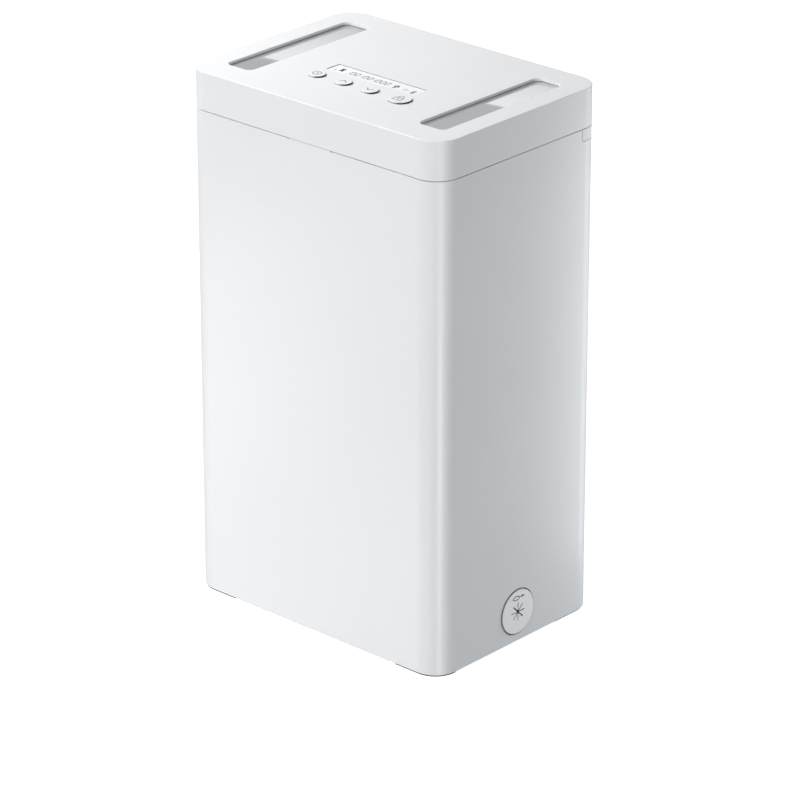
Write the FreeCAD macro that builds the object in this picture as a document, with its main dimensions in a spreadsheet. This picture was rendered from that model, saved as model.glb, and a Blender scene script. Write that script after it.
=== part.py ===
import FreeCAD, Part
import math
import os
import Sketcher

# Timed lock container: a tall plastic box whose hinged lid is held shut by a motorised bolt.
# Millimetres. Origin at the centre of the footprint on the resting plane, +X right, -Y front, +Z up.

V = FreeCAD.Vector
doc = FreeCAD.newDocument("timed_lock_container")
sheet = doc.addObject("Spreadsheet::Sheet", "Dims")

DIMS = [
    # outer envelope
    ("box_w", 210.0), ("box_d", 150.0), ("corner_rad", 16.4), ("wall", 3.0), ("floor_t", 3.5),
    ("foot_t", 0.8), ("lid_top", 352.2), ("rim_top", 326.45), ("lid_low", 327.0),
    ("tongue_top", 326.75), ("edge_rad", 0.5), ("low_edge_rad", 0.15),
    # hinge and heel
    ("axis_y", 71.1), ("axis_z", 322.9), ("heel_rad", 3.9), ("heel_y", 55.9), ("heel_low", 319.0),
    ("heel_top", 326.85), ("notch_y", 55.5), ("notch_low", 318.6), ("knuckle_rad", 3.75),
    ("knuckle_x", 60.0), ("knuckle_w", 24.0), ("pin_rad", 1.5), ("pin_len", 31.0), ("pin_play", 0.05),
    # latch zone of the front rim
    ("tongue_half", 17.2), ("dot_x", 17.7), ("dot_rad", 0.65), ("pad_half", 22.0), ("pad_t", 3.0),
    ("pad_low", 298.0), ("pad_top", 324.0),
    # windows in the lid
    ("win_x", 79.35), ("win_y", 0.3), ("win_w", 20.8), ("win_l", 109.8), ("win_rad", 4.5),
    ("pane_wall", 1.7), ("seal_t", 0.6), ("pane_t", 2.0), ("pane_edge", 1.9), ("pane_fit", 0.25),
    # lid base (inner cover)
    ("plate_top", 329.2), ("plate_gap", 0.2), ("rim_gap", 1.0), ("rim_w", 2.0), ("rim_low", 321.0),
    # display
    ("disp_x", -0.95), ("disp_y", -14.0), ("disp_w", 72.5), ("disp_h", 12.05), ("fit", 0.16),
    ("lens_sink", 0.45),
    # buttons
    ("btn_y", -32.3), ("btn_rise", 1.1), ("btn_rad", 5.2), ("lock_rad", 7.2), ("btn_gap", 0.25),
    ("btn_mode_x", -33.2), ("btn_up_x", -11.2), ("btn_down_x", 10.8), ("btn_lock_x", 35.2),
    # boards
    ("board_low", 342.0), ("board_t", 1.6), ("board_half", 50.0), ("board_y", -21.5), ("board_d", 41.0),
    # grommet
    ("grom_y", 0.0), ("grom_z", 21.3), ("grom_rad", 15.0), ("grom_rise", 0.6), ("grom_neck", 13.0),
    ("recess_rad", 15.7), ("recess_t", 1.2), ("grom_skin", 1.6),
    ("grom_bore", 10.5), ("slit_len", 12.4),
    # feet
    ("foot_in", 0.6), ("foot_in_rear", 0.9), ("foot_x", 69.3), ("foot_front", -57.4), ("foot_rear", 38.0),
    # latch drive
    ("gear_mod", 0.6), ("gear_axis_z", 335.2), ("gear_axis_y", -43.0), ("bolt_travel", 5.5),
    ("bolt_w", 12.0),
]
TABLE = {}
for row, (name, value) in enumerate(DIMS, 1):
    sheet.set("A%d" % row, name)
    sheet.set("B%d" % row, repr(value))
    sheet.setAlias("B%d" % row, name)
    TABLE[name] = value
doc.recompute()


class Q:
    """A size: its value now, and the expression that keeps it bound to the sheet."""

    def __init__(self, v, e):
        self.v, self.e = float(v), e

    @staticmethod
    def of(x):
        return x if isinstance(x, Q) else Q(x, "(%s)" % repr(round(float(x), 6)))

    def __add__(self, o):
        o = Q.of(o)
        return Q(self.v + o.v, "(%s + %s)" % (self.e, o.e))

    def __radd__(self, o):
        return Q.of(o) + self

    def __sub__(self, o):
        o = Q.of(o)
        return Q(self.v - o.v, "(%s - %s)" % (self.e, o.e))

    def __rsub__(self, o):
        return Q.of(o) - self

    def __mul__(self, o):
        o = Q.of(o)
        return Q(self.v * o.v, "(%s * %s)" % (self.e, o.e))

    __rmul__ = __mul__

    def __truediv__(self, o):
        o = Q.of(o)
        return Q(self.v / o.v, "(%s / %s)" % (self.e, o.e))

    def __neg__(self):
        return Q(0, "(0)") - self


class Sheet:
    def __getattr__(self, name):
        return Q(TABLE[name], "Dims." + name)


D = Sheet()
PARTS = []


def bind(obj, prop, q):
    obj.setExpression(prop, Q.of(q).e)


# ---------------------------------------------------------------- PartDesign helpers
def new_body(label):
    b = doc.addObject("PartDesign::Body", label)
    b.Label = label
    PARTS.append(b)
    return b


def sketch(body, name, role="XY_Plane", off=0.0):
    """A sketch on one of the body's origin planes; off moves it along the plane's normal
    (+Z for XY, -Y for XZ, +X for YZ)."""
    sk = body.newObject("Sketcher::SketchObject", name)
    plane = [f for f in body.Origin.OriginFeatures if getattr(f, "Role", "") == role][0]
    sk.AttachmentSupport = [(plane, "")]
    sk.MapMode = "FlatFace"
    off = Q.of(off)
    sk.AttachmentOffset = FreeCAD.Placement(V(0, 0, off.v), FreeCAD.Rotation())
    if abs(off.v) > 1e-9:
        bind(sk, "AttachmentOffset.Base.z", off)
    return sk


COUNT = [0]


def dim(sk, con, q):
    """Adds a dimension and binds it."""
    q = Q.of(q)
    i = sk.addConstraint(con)
    COUNT[0] += 1
    key = "c%d" % COUNT[0]
    sk.renameConstraint(i, key)
    sk.setExpression("Constraints." + key, q.e)


def put(sk, geo, pos, x, y):
    """Places one point of a sketch by its two coordinates."""
    x, y = Q.of(x), Q.of(y)
    if abs(x.v) < 1e-9:
        sk.addConstraint(Sketcher.Constraint("PointOnObject", geo, pos, -2))
    else:
        dim(sk, Sketcher.Constraint("DistanceX", -1, 1, geo, pos, x.v), x)
    if abs(y.v) < 1e-9:
        sk.addConstraint(Sketcher.Constraint("PointOnObject", geo, pos, -1))
    else:
        dim(sk, Sketcher.Constraint("DistanceY", -1, 1, geo, pos, y.v), y)


def circle(sk, cx, cy, r):
    cx, cy, r = Q.of(cx), Q.of(cy), Q.of(r)
    g = sk.addGeometry(Part.Circle(V(cx.v, cy.v, 0), V(0, 0, 1), r.v), False)
    dim(sk, Sketcher.Constraint("Radius", g, r.v), r)
    put(sk, g, 3, cx, cy)


def rect(sk, cx, cy, w, h, r=None):
    """A rectangle by its centre and size, with rounded corners if r is given."""
    cx, cy, w, h = Q.of(cx), Q.of(cy), Q.of(w), Q.of(h)
    x0, x1 = cx.v - w.v / 2, cx.v + w.v / 2
    y0, y1 = cy.v - h.v / 2, cy.v + h.v / 2
    if r is None:
        p = [V(x0, y0, 0), V(x1, y0, 0), V(x1, y1, 0), V(x0, y1, 0)]
        g = [sk.addGeometry(Part.LineSegment(p[i], p[(i + 1) % 4]), False) for i in range(4)]
        for i in range(4):
            sk.addConstraint(Sketcher.Constraint("Coincident", g[i], 2, g[(i + 1) % 4], 1))
        for i in (0, 2):
            sk.addConstraint(Sketcher.Constraint("Horizontal", g[i]))
        for i in (1, 3):
            sk.addConstraint(Sketcher.Constraint("Vertical", g[i]))
        dim(sk, Sketcher.Constraint("DistanceX", g[0], 1, g[0], 2, w.v), w)
        dim(sk, Sketcher.Constraint("DistanceY", g[1], 1, g[1], 2, h.v), h)
        put(sk, g[0], 1, cx - w / 2, cy - h / 2)
        return
    r = Q.of(r)
    rr = r.v
    lines = [
        (V(x0 + rr, y0, 0), V(x1 - rr, y0, 0)),
        (V(x1, y0 + rr, 0), V(x1, y1 - rr, 0)),
        (V(x1 - rr, y1, 0), V(x0 + rr, y1, 0)),
        (V(x0, y1 - rr, 0), V(x0, y0 + rr, 0)),
    ]
    cen = [(x1 - rr, y0 + rr, 270, 360), (x1 - rr, y1 - rr, 0, 90), (x0 + rr, y1 - rr, 90, 180), (x0 + rr, y0 + rr, 180, 270)]
    gl = [sk.addGeometry(Part.LineSegment(a, b), False) for a, b in lines]
    ga = []
    for px, py, a0, a1 in cen:
        c = Part.Circle(V(px, py, 0), V(0, 0, 1), rr)
        ga.append(sk.addGeometry(Part.ArcOfCircle(c, math.radians(a0), math.radians(a1)), False))
    for i in range(4):
        sk.addConstraint(Sketcher.Constraint("Tangent", gl[i], 2, ga[i], 1))
        sk.addConstraint(Sketcher.Constraint("Tangent", ga[i], 2, gl[(i + 1) % 4], 1))
    for i in (0, 2):
        sk.addConstraint(Sketcher.Constraint("Horizontal", gl[i]))
    for i in (1, 3):
        sk.addConstraint(Sketcher.Constraint("Vertical", gl[i]))
    for i in (1, 2, 3):
        sk.addConstraint(Sketcher.Constraint("Equal", ga[0], ga[i]))
    dim(sk, Sketcher.Constraint("Radius", ga[0], rr), r)
    dim(sk, Sketcher.Constraint("DistanceX", gl[0], 1, gl[0], 2, w.v - 2 * rr), w - 2 * r)
    dim(sk, Sketcher.Constraint("DistanceY", gl[1], 1, gl[1], 2, h.v - 2 * rr), h - 2 * r)
    put(sk, ga[3], 3, cx - w / 2 + r, cy - h / 2 + r)


def poly(sk, points):
    """A closed outline of straight runs through the points, each placed by its coordinates."""
    pts = [(Q.of(x), Q.of(y)) for x, y in points]
    n = len(pts)
    g = []
    for i in range(n):
        a, b = pts[i], pts[(i + 1) % n]
        g.append(sk.addGeometry(Part.LineSegment(V(a[0].v, a[1].v, 0), V(b[0].v, b[1].v, 0)), False))
    for i in range(n):
        sk.addConstraint(Sketcher.Constraint("Coincident", g[i], 2, g[(i + 1) % n], 1))
    for i in range(n):
        put(sk, g[i], 1, *pts[i])


def rear_slab(sk, w, d, r, y0):
    """The rear part of a rounded box outline, behind y0."""
    w, d, r, y0 = Q.of(w), Q.of(d), Q.of(r), Q.of(y0)
    hw, hd = w.v / 2, d.v / 2
    p = [V(-hw, y0.v, 0), V(hw, y0.v, 0), V(hw, hd - r.v, 0), V(hw - r.v, hd, 0), V(-hw + r.v, hd, 0), V(-hw, hd - r.v, 0)]
    a = sk.addGeometry(Part.LineSegment(p[0], p[1]), False)
    b = sk.addGeometry(Part.LineSegment(p[1], p[2]), False)
    c1 = Part.Circle(V(hw - r.v, hd - r.v, 0), V(0, 0, 1), r.v)
    ar = sk.addGeometry(Part.ArcOfCircle(c1, 0, math.pi / 2), False)
    c = sk.addGeometry(Part.LineSegment(p[3], p[4]), False)
    c2 = Part.Circle(V(-hw + r.v, hd - r.v, 0), V(0, 0, 1), r.v)
    al = sk.addGeometry(Part.ArcOfCircle(c2, math.pi / 2, math.pi), False)
    d_ = sk.addGeometry(Part.LineSegment(p[5], p[0]), False)
    sk.addConstraint(Sketcher.Constraint("Coincident", a, 2, b, 1))
    sk.addConstraint(Sketcher.Constraint("Tangent", b, 2, ar, 1))
    sk.addConstraint(Sketcher.Constraint("Tangent", ar, 2, c, 1))
    sk.addConstraint(Sketcher.Constraint("Tangent", c, 2, al, 1))
    sk.addConstraint(Sketcher.Constraint("Tangent", al, 2, d_, 1))
    sk.addConstraint(Sketcher.Constraint("Coincident", d_, 2, a, 1))
    sk.addConstraint(Sketcher.Constraint("Horizontal", a))
    sk.addConstraint(Sketcher.Constraint("Vertical", b))
    sk.addConstraint(Sketcher.Constraint("Vertical", d_))
    sk.addConstraint(Sketcher.Constraint("Equal", ar, al))
    dim(sk, Sketcher.Constraint("Radius", ar, r.v), r)
    put(sk, a, 1, -w / 2, y0)
    put(sk, ar, 3, w / 2 - r, d / 2 - r)


def heel_corner(sk, cy, cz, r):
    """The corner outside a quarter round that runs from straight below its centre to straight
    behind it."""
    cy, cz, r = Q.of(cy), Q.of(cz), Q.of(r)
    circ = Part.Circle(V(cy.v, cz.v, 0), V(0, 0, 1), r.v)
    arc = sk.addGeometry(Part.ArcOfCircle(circ, 1.5 * math.pi, 2 * math.pi), False)
    p = [V(cy.v, cz.v - r.v, 0), V(cy.v + r.v, cz.v, 0), V(cy.v + r.v + 2, cz.v, 0), V(cy.v + r.v + 2, cz.v - r.v - 2, 0), V(cy.v, cz.v - r.v - 2, 0)]
    g = [sk.addGeometry(Part.LineSegment(p[i], p[i + 1]), False) for i in (1, 2, 3)]
    g.append(sk.addGeometry(Part.LineSegment(p[4], p[0]), False))
    sk.addConstraint(Sketcher.Constraint("Coincident", arc, 2, g[0], 1))
    for i in range(3):
        sk.addConstraint(Sketcher.Constraint("Coincident", g[i], 2, g[i + 1], 1))
    sk.addConstraint(Sketcher.Constraint("Coincident", g[3], 2, arc, 1))
    sk.addConstraint(Sketcher.Constraint("Horizontal", g[0]))
    sk.addConstraint(Sketcher.Constraint("Vertical", g[1]))
    sk.addConstraint(Sketcher.Constraint("Horizontal", g[2]))
    sk.addConstraint(Sketcher.Constraint("Vertical", g[3]))
    dim(sk, Sketcher.Constraint("Radius", arc, r.v), r)
    put(sk, arc, 3, cy, cz)
    sk.addConstraint(Sketcher.Constraint("Horizontal", arc, 3, arc, 2))
    sk.addConstraint(Sketcher.Constraint("Vertical", arc, 3, arc, 1))
    dim(sk, Sketcher.Constraint("DistanceX", g[0], 1, g[0], 2, 2), 2)
    dim(sk, Sketcher.Constraint("DistanceY", g[3], 1, g[3], 2, 2), 2)


def pad(body, sk, name, length, rev=False):
    f = body.newObject("PartDesign::Pad", name)
    f.Profile = sk
    f.Length = Q.of(length).v
    bind(f, "Length", length)
    f.Reversed = rev
    return f


def pocket(body, sk, name, length, rev=False):
    """Cuts along the sketch plane's negative normal, or its positive one if rev. The volume
    has to go down."""
    doc.recompute()
    before = body.Shape.Volume
    f = body.newObject("PartDesign::Pocket", name)
    f.Profile = sk
    f.Length = Q.of(length).v
    bind(f, "Length", length)
    f.Reversed = rev
    doc.recompute()
    after = body.Shape.Volume
    if not after < before - 1e-3:
        raise RuntimeError("pocket %s cut nothing (%.2f -> %.2f) %s" % (name, before, after, f.State))
    return f


def fillet(body, base, name, radius, test, chamfer=False):
    """Rounds the edges of base that the test picks."""
    doc.recompute()
    names = ["Edge%d" % (i + 1) for i, e in enumerate(base.Shape.Edges) if test(e)]
    if not names:
        raise RuntimeError("no edges for " + name)
    kind = "PartDesign::Chamfer" if chamfer else "PartDesign::Fillet"
    f = body.newObject(kind, name)
    f.Base = (base, names)
    if chamfer:
        f.Size = Q.of(radius).v
        bind(f, "Size", radius)
    else:
        f.Radius = Q.of(radius).v
        bind(f, "Radius", radius)
    doc.recompute()
    return f


def bb(e):
    return e.BoundBox


# ---------------------------------------------------------------- Part helpers
def place(o, x, y, z):
    x, y, z = Q.of(x), Q.of(y), Q.of(z)
    o.Placement = FreeCAD.Placement(V(x.v, y.v, z.v), o.Placement.Rotation)
    bind(o, "Placement.Base.x", x)
    bind(o, "Placement.Base.y", y)
    bind(o, "Placement.Base.z", z)


def block(name, x0, x1, y0, y1, z0, z1):
    """A box between two corners."""
    x0, x1, y0, y1, z0, z1 = [Q.of(q) for q in (x0, x1, y0, y1, z0, z1)]
    o = doc.addObject("Part::Box", name)
    for prop, q in (("Length", x1 - x0), ("Width", y1 - y0), ("Height", z1 - z0)):
        setattr(o, prop, q.v)
        bind(o, prop, q)
    place(o, x0, y0, z0)
    return o


AXES = {"Z": None, "X": (V(0, 1, 0), 90), "Y": (V(1, 0, 0), -90)}


def rod(name, axis, x, y, z, r, length):
    """A cylinder from a point along +X, +Y or +Z."""
    o = doc.addObject("Part::Cylinder", name)
    r, length = Q.of(r), Q.of(length)
    o.Radius, o.Height = r.v, length.v
    bind(o, "Radius", r)
    bind(o, "Height", length)
    if AXES[axis]:
        o.Placement = FreeCAD.Placement(V(0, 0, 0), FreeCAD.Rotation(*AXES[axis]))
    place(o, x, y, z)
    return o


def fuse(name, items):
    o = doc.addObject("Part::MultiFuse", name)
    o.Shapes = items
    return o


def cut(name, base, tool):
    o = doc.addObject("Part::Cut", name)
    o.Base, o.Tool = base, tool
    return o


def group(name, items):
    o = doc.addObject("Part::Compound", name)
    o.Links = items
    return o


def rounded(name, base, radius, test):
    doc.recompute()
    o = doc.addObject("Part::Fillet", name)
    o.Base = base
    o.Edges = [(i + 1, radius, radius) for i, e in enumerate(base.Shape.Edges) if test(e)]
    return o


def node(o, label):
    o.Label = label
    PARTS.append(o)
    return o


def straight(label, shape):
    """A piece whose shape is worked out below from the sheet's sizes."""
    f = doc.addObject("Part::Feature", label)
    f.Shape = shape
    f.Placement = FreeCAD.Placement(V(0, 0, 0), FreeCAD.Rotation())
    return node(f, label)


# ================================================================ base: the box
half_w, half_d = D.box_w / 2, D.box_d / 2
body = new_body("body_shell")
sk = sketch(body, "body_outline", off=D.foot_t)
rect(sk, 0, 0, D.box_w, D.box_d, D.corner_rad)
outer = pad(body, sk, "body_pad", D.rim_top - D.foot_t)
sk = sketch(body, "body_cavity", off=D.rim_top)
rect(sk, 0, 0, D.box_w - 2 * D.wall, D.box_d - 2 * D.wall, D.corner_rad - D.wall)
pocket(body, sk, "body_hollow", D.rim_top - D.foot_t - D.floor_t)
# seat for the lid's hinge heel: the walls stop lower over the rear 20 mm
sk = sketch(body, "heel_seat", "YZ_Plane", off=half_w + 1)
poly(sk, [(D.notch_y, D.notch_low), (half_d + 2, D.notch_low), (half_d + 2, D.rim_top + 2), (D.notch_y, D.rim_top + 2)])
seat = pocket(body, sk, "heel_seat_cut", D.box_w + 2)
seat = fillet(
    body, seat, "heel_seat_round", 1.9,
    lambda e: abs(bb(e).YMin - TABLE["notch_y"]) < 1e-3 and abs(bb(e).YMax - TABLE["notch_y"]) < 1e-3 and abs(bb(e).ZMin - 318.6) < 1e-3 and abs(bb(e).ZMax - 318.6) < 1e-3,
)
# inner corner where wall and floor meet, and the outer bottom edge
seat = fillet(
    body, seat, "floor_round", 2.0,
    lambda e: abs(bb(e).ZMin - 4.3) < 1e-3 and abs(bb(e).ZMax - 4.3) < 1e-3,
)
seat = fillet(
    body, seat, "bottom_round", 0.4,
    lambda e: abs(bb(e).ZMin - 0.8) < 1e-3 and abs(bb(e).ZMax - 0.8) < 1e-3,
)
# hinge knuckles on the rear wall, each with a web down to the wall
for side, sx in (("l", -1), ("r", 1)):
    cx = D.knuckle_x * sx
    sk = sketch(body, "knuckle_web_" + side, off=D.notch_low - 6)
    rect(sk, cx, D.axis_y, D.knuckle_w, 2 * D.knuckle_rad)
    pad(body, sk, "knuckle_web_pad_" + side, D.axis_z - D.notch_low + 6)
    sk = sketch(body, "knuckle_" + side, "YZ_Plane", off=cx - D.knuckle_w / 2)
    circle(sk, D.axis_y, D.axis_z, D.knuckle_rad)
    pad(body, sk, "knuckle_pad_" + side, D.knuckle_w)
    sk = sketch(body, "knuckle_bore_" + side, "YZ_Plane", off=cx + D.knuckle_w / 2 + 1)
    circle(sk, D.axis_y, D.axis_z, D.pin_rad + D.pin_play)
    pocket(body, sk, "knuckle_bore_cut_" + side, D.knuckle_w + 2)
# pad for the strike plate on the inside of the front wall
sk = sketch(body, "strike_pad", off=D.pad_low)
rect(sk, 0, -half_d + D.wall / 2 + D.pad_t / 2, 2 * D.pad_half, D.wall + D.pad_t - 1)
pad(body, sk, "strike_pad_pad", D.pad_top - D.pad_low)
# closer-fitting lip of the rim over the latch, ended by two small round notches
sk = sketch(body, "latch_lip", off=D.rim_top - 0.5)
rect(sk, 0, -half_d + D.wall / 2, 2 * D.tongue_half, D.wall)
pad(body, sk, "latch_lip_pad", D.tongue_top - D.rim_top + 0.5)
sk = sketch(body, "rim_dots", "XZ_Plane", off=half_d + 1)
circle(sk, -D.dot_x, D.rim_top + 0.1, D.dot_rad)
circle(sk, D.dot_x, D.rim_top + 0.1, D.dot_rad)
pocket(body, sk, "rim_dots_cut", D.wall + 1.5)
# pilot holes for the strike plate's screws
sk = sketch(body, "strike_pilots", "XZ_Plane", off=half_d - D.wall - D.pad_t - 1)
circle(sk, -13, 309, 1.25)
circle(sk, 13, 309, 1.25)
pocket(body, sk, "strike_pilot_cut", 6, rev=True)
# hole for the cable grommet, with a shallow round recess outside that leaves a gap about its disc
sk = sketch(body, "grommet_recess", "YZ_Plane", off=half_w + 1)
circle(sk, D.grom_y, D.grom_z, D.recess_rad)
pocket(body, sk, "grommet_recess_cut", D.recess_t + 1)
sk = sketch(body, "grommet_hole", "YZ_Plane", off=half_w + 1)
circle(sk, D.grom_y, D.grom_z, D.grom_neck)
pocket(body, sk, "grommet_hole_cut", D.wall + 3)

# cable grommet: soft disc standing in the recess, neck through the wall, lip inside, star of slits
grom = new_body("cable_grommet")
face_x = TABLE["box_w"] / 2 + TABLE["grom_rise"]
sk = sketch(grom, "grom_disc", "YZ_Plane", off=half_w - D.recess_t)
circle(sk, D.grom_y, D.grom_z, D.grom_rad)
disc = pad(grom, sk, "grom_disc_pad", D.grom_rise + D.recess_t)
disc = fillet(grom, disc, "grom_edge", 0.35, lambda e: abs(bb(e).XMin - face_x) < 1e-3)
sk = sketch(grom, "grom_neck", "YZ_Plane", off=half_w - D.wall)
circle(sk, D.grom_y, D.grom_z, D.grom_neck)
pad(grom, sk, "grom_neck_pad", D.wall - D.recess_t)
sk = sketch(grom, "grom_lip", "YZ_Plane", off=half_w - D.wall - 1.5)
circle(sk, D.grom_y, D.grom_z, D.grom_neck + 1.8)
pad(grom, sk, "grom_lip_pad", 1.5)
sk = sketch(grom, "grom_bore", "YZ_Plane", off=half_w + D.grom_rise - D.grom_skin)
circle(sk, D.grom_y, D.grom_z, D.grom_bore)
pocket(grom, sk, "grom_bore_cut", D.wall + 3)
for i, (deg, w) in enumerate(((0, 0.6), (45, 0.6), (90, 0.6), (135, 0.85))):
    sk = sketch(grom, "slit_%d" % i, "YZ_Plane", off=half_w + D.grom_rise + 1)
    c, s = math.cos(math.radians(deg)), math.sin(math.radians(deg))
    L, W = D.slit_len / 2, Q.of(w / 2)
    poly(sk, [
        (D.grom_y + L * a * c - W * b * s, D.grom_z + L * a * s + W * b * c)
        for a, b in ((-1, -1), (1, -1), (1, 1), (-1, 1))
    ])
    pocket(grom, sk, "slit_cut_%d" % i, D.grom_skin + 2)
sk = sketch(grom, "slit_eye", "YZ_Plane", off=half_w + D.grom_rise + 1)
circle(sk, D.grom_y, D.grom_z, 1.15)
pocket(grom, sk, "slit_eye_cut", D.grom_skin + 2)

# feet: thin rubber corner pads, rounded like the corner they sit under
for label, sx, sy in (("foot_front_left", -1, -1), ("foot_front_right", 1, -1), ("foot_rear_left", -1, 1), ("foot_rear_right", 1, 1)):
    foot = new_body(label)
    end = D.foot_rear if sy > 0 else -D.foot_front
    inset = D.foot_in_rear if sy > 0 else D.foot_in
    w = half_w - inset - D.foot_x
    h = half_d - inset - end
    sk = sketch(foot, label + "_outline")
    x_out, y_out = (half_w - inset) * sx, (half_d - inset) * sy
    rect(sk, x_out - w * sx / 2, y_out - h * sy / 2, w, h)
    f = pad(foot, sk, label + "_pad", D.foot_t)
    xo, yo, x_in = x_out.v, y_out.v, (x_out - w * sx).v
    f = fillet(
        foot, f, label + "_corner", D.corner_rad - inset,
        lambda e: abs(bb(e).XLength) < 1e-6 and abs(bb(e).YLength) < 1e-6 and abs(bb(e).XMin - xo) < 1e-3 and abs(bb(e).YMin - yo) < 1e-3,
    )
    fillet(
        foot, f, label + "_ends", 0.8,
        lambda e: bb(e).ZLength > 0.5 and abs(bb(e).XLength) < 1e-6 and abs(bb(e).YLength) < 1e-6 and abs(bb(e).XMin - x_in) < 1e-3 and abs(bb(e).YMin - y_out.v) > 16.55,
    )

# strike plate: steel angle, its lip is what the bolt's toe goes under
front_in = -half_d + D.wall + D.pad_t
leg = block("strike_leg", -20, 20, front_in, front_in + 1.5, 301, 324.6)
lip = block("strike_lip", -18, 18, front_in, front_in + 7.0, 323.1, 324.6)
plate = fuse("strike_fuse", [leg, lip])
holes = fuse("strike_holes", [rod("strike_hole_l", "Y", -13, front_in - 1, 309, 1.6, 4), rod("strike_hole_r", "Y", 13, front_in - 1, 309, 1.6, 4)])
plate = cut("strike_cut", plate, holes)
plate = rounded("strike_round", plate, 1.0, lambda e: abs(bb(e).ZMin - 301) < 1e-3 and bb(e).YLength > 1 and bb(e).XLength < 1e-6 and abs(bb(e).ZMax - 301) < 1e-3)
node(plate, "strike_plate")


def screw(name, axis, x, y, z, r, length, head_r, head_h, sign):
    """A pan-head screw. The head's seat is at the point; the shank runs along sign * axis."""
    x, y, z = Q.of(x), Q.of(y), Q.of(z)
    d = {"X": (1, 0, 0), "Y": (0, 1, 0), "Z": (0, 0, 1)}[axis]
    s0 = 0 if sign > 0 else -length
    h0 = -head_h if sign > 0 else 0
    shank = rod(name + "_shank", axis, x + s0 * d[0], y + s0 * d[1], z + s0 * d[2], r, length)
    head = rod(name + "_head", axis, x + h0 * d[0], y + h0 * d[1], z + h0 * d[2], head_r, head_h)
    slot_l, slot_w, slot_d = head_r * 1.1, head_r * 0.28, head_h * 0.45
    # cross recess
    top = h0 if sign > 0 else h0 + head_h
    lo, hi = (top - 0.1, top + slot_d) if sign > 0 else (top - slot_d, top + 0.1)
    bars = []
    for k, (a, b) in enumerate(((slot_l, slot_w), (slot_w, slot_l))):
        if axis == "Z":
            bars.append(block(name + "_bar%d" % k, x - a / 2, x + a / 2, y - b / 2, y + b / 2, z + lo, z + hi))
        elif axis == "Y":
            bars.append(block(name + "_bar%d" % k, x - a / 2, x + a / 2, y + lo, y + hi, z - b / 2, z + b / 2))
    return cut(name, fuse(name + "_whole", [shank, head]), fuse(name + "_cross", bars))


strike_y = front_in + 1.5
node(group("strike_screw_set", [screw("strike_screw_%d" % i, "Y", x, strike_y, 309, 1.25, 5.5, 2.6, 1.7, -1) for i, x in enumerate((-13, 13))]), "strike_screws")

# ================================================================ lid
lid = new_body("lid_top_shell")
sk = sketch(lid, "lid_outline", off=D.lid_low)
rect(sk, 0, 0, D.box_w, D.box_d, D.corner_rad)
top = pad(lid, sk, "lid_pad", D.lid_top - D.lid_low)
top = fillet(lid, top, "lid_edge", D.edge_rad, lambda e: abs(bb(e).ZMin - 352.2) < 1e-3)
top = fillet(lid, top, "lid_low_edge", D.low_edge_rad, lambda e: abs(bb(e).ZMin - 327.0) < 1e-3 and abs(bb(e).ZMax - 327.0) < 1e-3)
sk = sketch(lid, "lid_cavity", off=D.lid_low)
rect(sk, 0, 0, D.box_w - 2 * D.wall, D.box_d - 2 * D.wall, D.corner_rad - D.wall)
pocket(lid, sk, "lid_hollow", D.lid_top - D.lid_low - D.wall, rev=True)
# screw bosses down to the lid base, and shorter ones for the two boards
LID_BOSS = [(-93.5, -62.5), (93.5, -62.5), (-93.5, 62.5), (93.5, 62.5), (-58, -64), (58, -64), (-58, 60), (58, 60)]
BOARD_BOSS = [(-46, -38.5), (46, -38.5), (-46, -4.5), (46, -4.5)]
CHARGE_BOSS = [(-10, 60), (10, 60)]
sk = sketch(lid, "lid_bosses", off=D.plate_top)
for x, y in LID_BOSS:
    circle(sk, x, y, 3.5)
pad(lid, sk, "lid_boss_pad", D.lid_top - D.plate_top - 1)
sk = sketch(lid, "board_bosses", off=D.board_low + D.board_t)
for x, y in BOARD_BOSS:
    circle(sk, x, y, 2.8)
pad(lid, sk, "board_boss_pad", D.lid_top - D.board_low - D.board_t - 1)
sk = sketch(lid, "charge_bosses", off=338.5)
for x, y in CHARGE_BOSS:
    circle(sk, x, y, 2.8)
pad(lid, sk, "charge_boss_pad", D.lid_top - 338.5 - 1)
sk = sketch(lid, "lid_pilots", off=D.plate_top)
for x, y in LID_BOSS:
    circle(sk, x, y, 1.25)
pocket(lid, sk, "lid_pilot_cut", 12, rev=True)
sk = sketch(lid, "board_pilots", off=D.board_low + D.board_t)
for x, y in BOARD_BOSS:
    circle(sk, x, y, 1.0)
pocket(lid, sk, "board_pilot_cut", 5, rev=True)
sk = sketch(lid, "charge_pilots", off=338.5)
for x, y in CHARGE_BOSS:
    circle(sk, x, y, 1.0)
pocket(lid, sk, "charge_pilot_cut", 6, rev=True)
# windows: shallow recesses behind the lid seat the panes close to its top
sk = sketch(lid, "pane_seats", off=D.lid_top - D.wall - 1)
for sx in (-1, 1):
    rect(sk, D.win_x * sx, D.win_y, D.win_w + 2 * D.pane_edge + 2 * D.pane_fit, D.win_l + 2 * D.pane_edge + 2 * D.pane_fit, D.win_rad + D.pane_edge + D.pane_fit)
pocket(lid, sk, "pane_seat_cut", D.wall - D.pane_wall + 1, rev=True)
sk = sketch(lid, "windows", off=D.lid_top + 1)
for sx in (-1, 1):
    rect(sk, D.win_x * sx, D.win_y, D.win_w, D.win_l, D.win_rad)
f = pocket(lid, sk, "window_cut", D.wall + 2)
top_z = TABLE["lid_top"]


def on_top(e):
    b = bb(e)
    return abs(b.ZMin - top_z) < 1e-3 and abs(b.ZMax - top_z) < 1e-3


def inside(e, x0, x1, y0, y1):
    b = bb(e)
    return b.XMin > x0 and b.XMax < x1 and b.YMin > y0 and b.YMax < y1


f = fillet(lid, f, "window_edge", 0.25, lambda e: on_top(e) and (inside(e, -92, -66, -58, 58) or inside(e, 66, 92, -58, 58)))
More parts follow.
